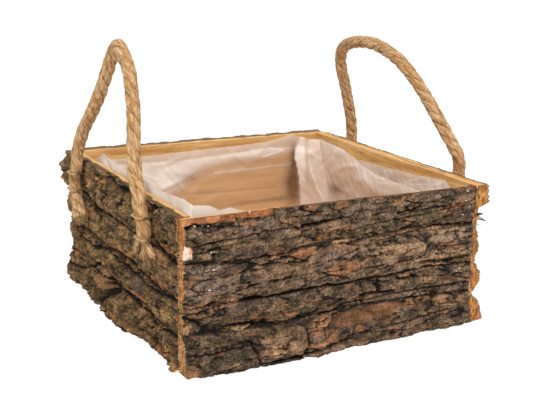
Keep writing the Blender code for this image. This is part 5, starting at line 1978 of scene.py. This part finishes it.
# Lamps: place and size in metres, power in watts
LAMPS = {
    "key": ((-0.95, -1.55, 1.95), 0.9, 46.0),
    "fill": ((1.7, -1.1, 1.1), 1.4, 12.0),
    "back": ((0.3, 1.7, 1.5), 1.4, 12.0),
}
LAMP_AIM = (0, 0, 0.08)


def white_world():
    world = bpy.data.worlds.new("studio")
    bpy.context.scene.world = world
    g = Graph(world)
    rays = g.tree.nodes.new("ShaderNodeLightPath").outputs
    also = g.maths("MAXIMUM", rays["Is Glossy Ray"], rays["Is Transmission Ray"])
    seen = g.maths("MAXIMUM", rays["Is Camera Ray"], also)
    background = g.tree.nodes["Background"]
    g.put(background.inputs["Color"], (1.0, 1.0, 1.0))
    g.put(background.inputs["Strength"], g.range(seen, 0.0, 1.0, WORLD_LIGHT, 1.0))


def white_floor():
    """A floor that the camera sees nearly as white as the world, and that keeps the shadow."""
    g = Material("white_floor")
    material = g.finish((0.9, 0.9, 0.9), 1.0, None, 0.0)
    share = g.times(g.node("LightPath", "Is Camera Ray"), FLOOR_WHITE_SHARE)
    glow = g.node("Emission", Strength=FLOOR_WHITE)
    both = g.node("MixShader", i0=share, i1=g.shader.outputs[0], i2=glow)
    g.put(g.tree.nodes["Material Output"].inputs["Surface"], both)
    corners = [(x * FLOOR_HALF, y * FLOOR_HALF, 0) for x, y in ((-1, -1), (1, -1), (1, 1), (-1, 1))]
    add("floor", new_mesh("floor", corners, [[0, 1, 2, 3]]), material)


def lamps():
    for name, (place, size, power) in LAMPS.items():
        lamp = bpy.data.lights.new(name, "AREA")
        lamp.energy = power
        lamp.size = size
        thing = bpy.data.objects.new(name, lamp)
        turn = (Vector(LAMP_AIM) - Vector(place)).to_track_quat("-Z", "Y").to_matrix().to_4x4()
        thing.matrix_world = Matrix.Translation(place) @ turn
        bpy.context.scene.collection.objects.link(thing)


def dress(materials):
    """Gives the solids that show as they are their own materials."""
    for name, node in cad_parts.items():
        for key, look in materials.items():
            if key in name:
                node.data.materials.clear()
                node.data.materials.append(look)


def main():
    make_camera()
    jute = rope_material()
    stray = fibre_material("jute_fibre", (0.70, 0.46, 0.22), (0.36, 0.19, 0.07))
    for side_name in HANDLES:
        rope(side_name, jute, stray)
    slabs = {wall: wall_slabs(wall) for wall in WALLS}
    film(film_material())
    saw_fibres(fibre_material("saw_fibre", (0.85, 0.62, 0.33), (0.52, 0.28, 0.10)))
    bark_splinters(fibre_material("splintered_bark", (0.14, 0.075, 0.035), (0.045, 0.026, 0.014)))
    knot(pale_wood_material())
    bright = wire_material("staple_wire_bright", (0.62, 0.58, 0.52), (0.90, 0.88, 0.84))
    staple_crowns(bright, slabs["front"])
    dress({
        "post": sawn_wood("sawn_post", 2),
        "board": sawn_wood("sawn_board", 0),
        "batten": sawn_wood("sawn_batten", 1),
        "staple": wire_material(
            "staple_wire", (0.050, 0.030, 0.016), (0.090, 0.055, 0.028), over_rope=True,
        ),
    })
    white_world()
    white_floor()
    lamps()
    bpy.context.scene.view_settings.view_transform = "Standard"


main()
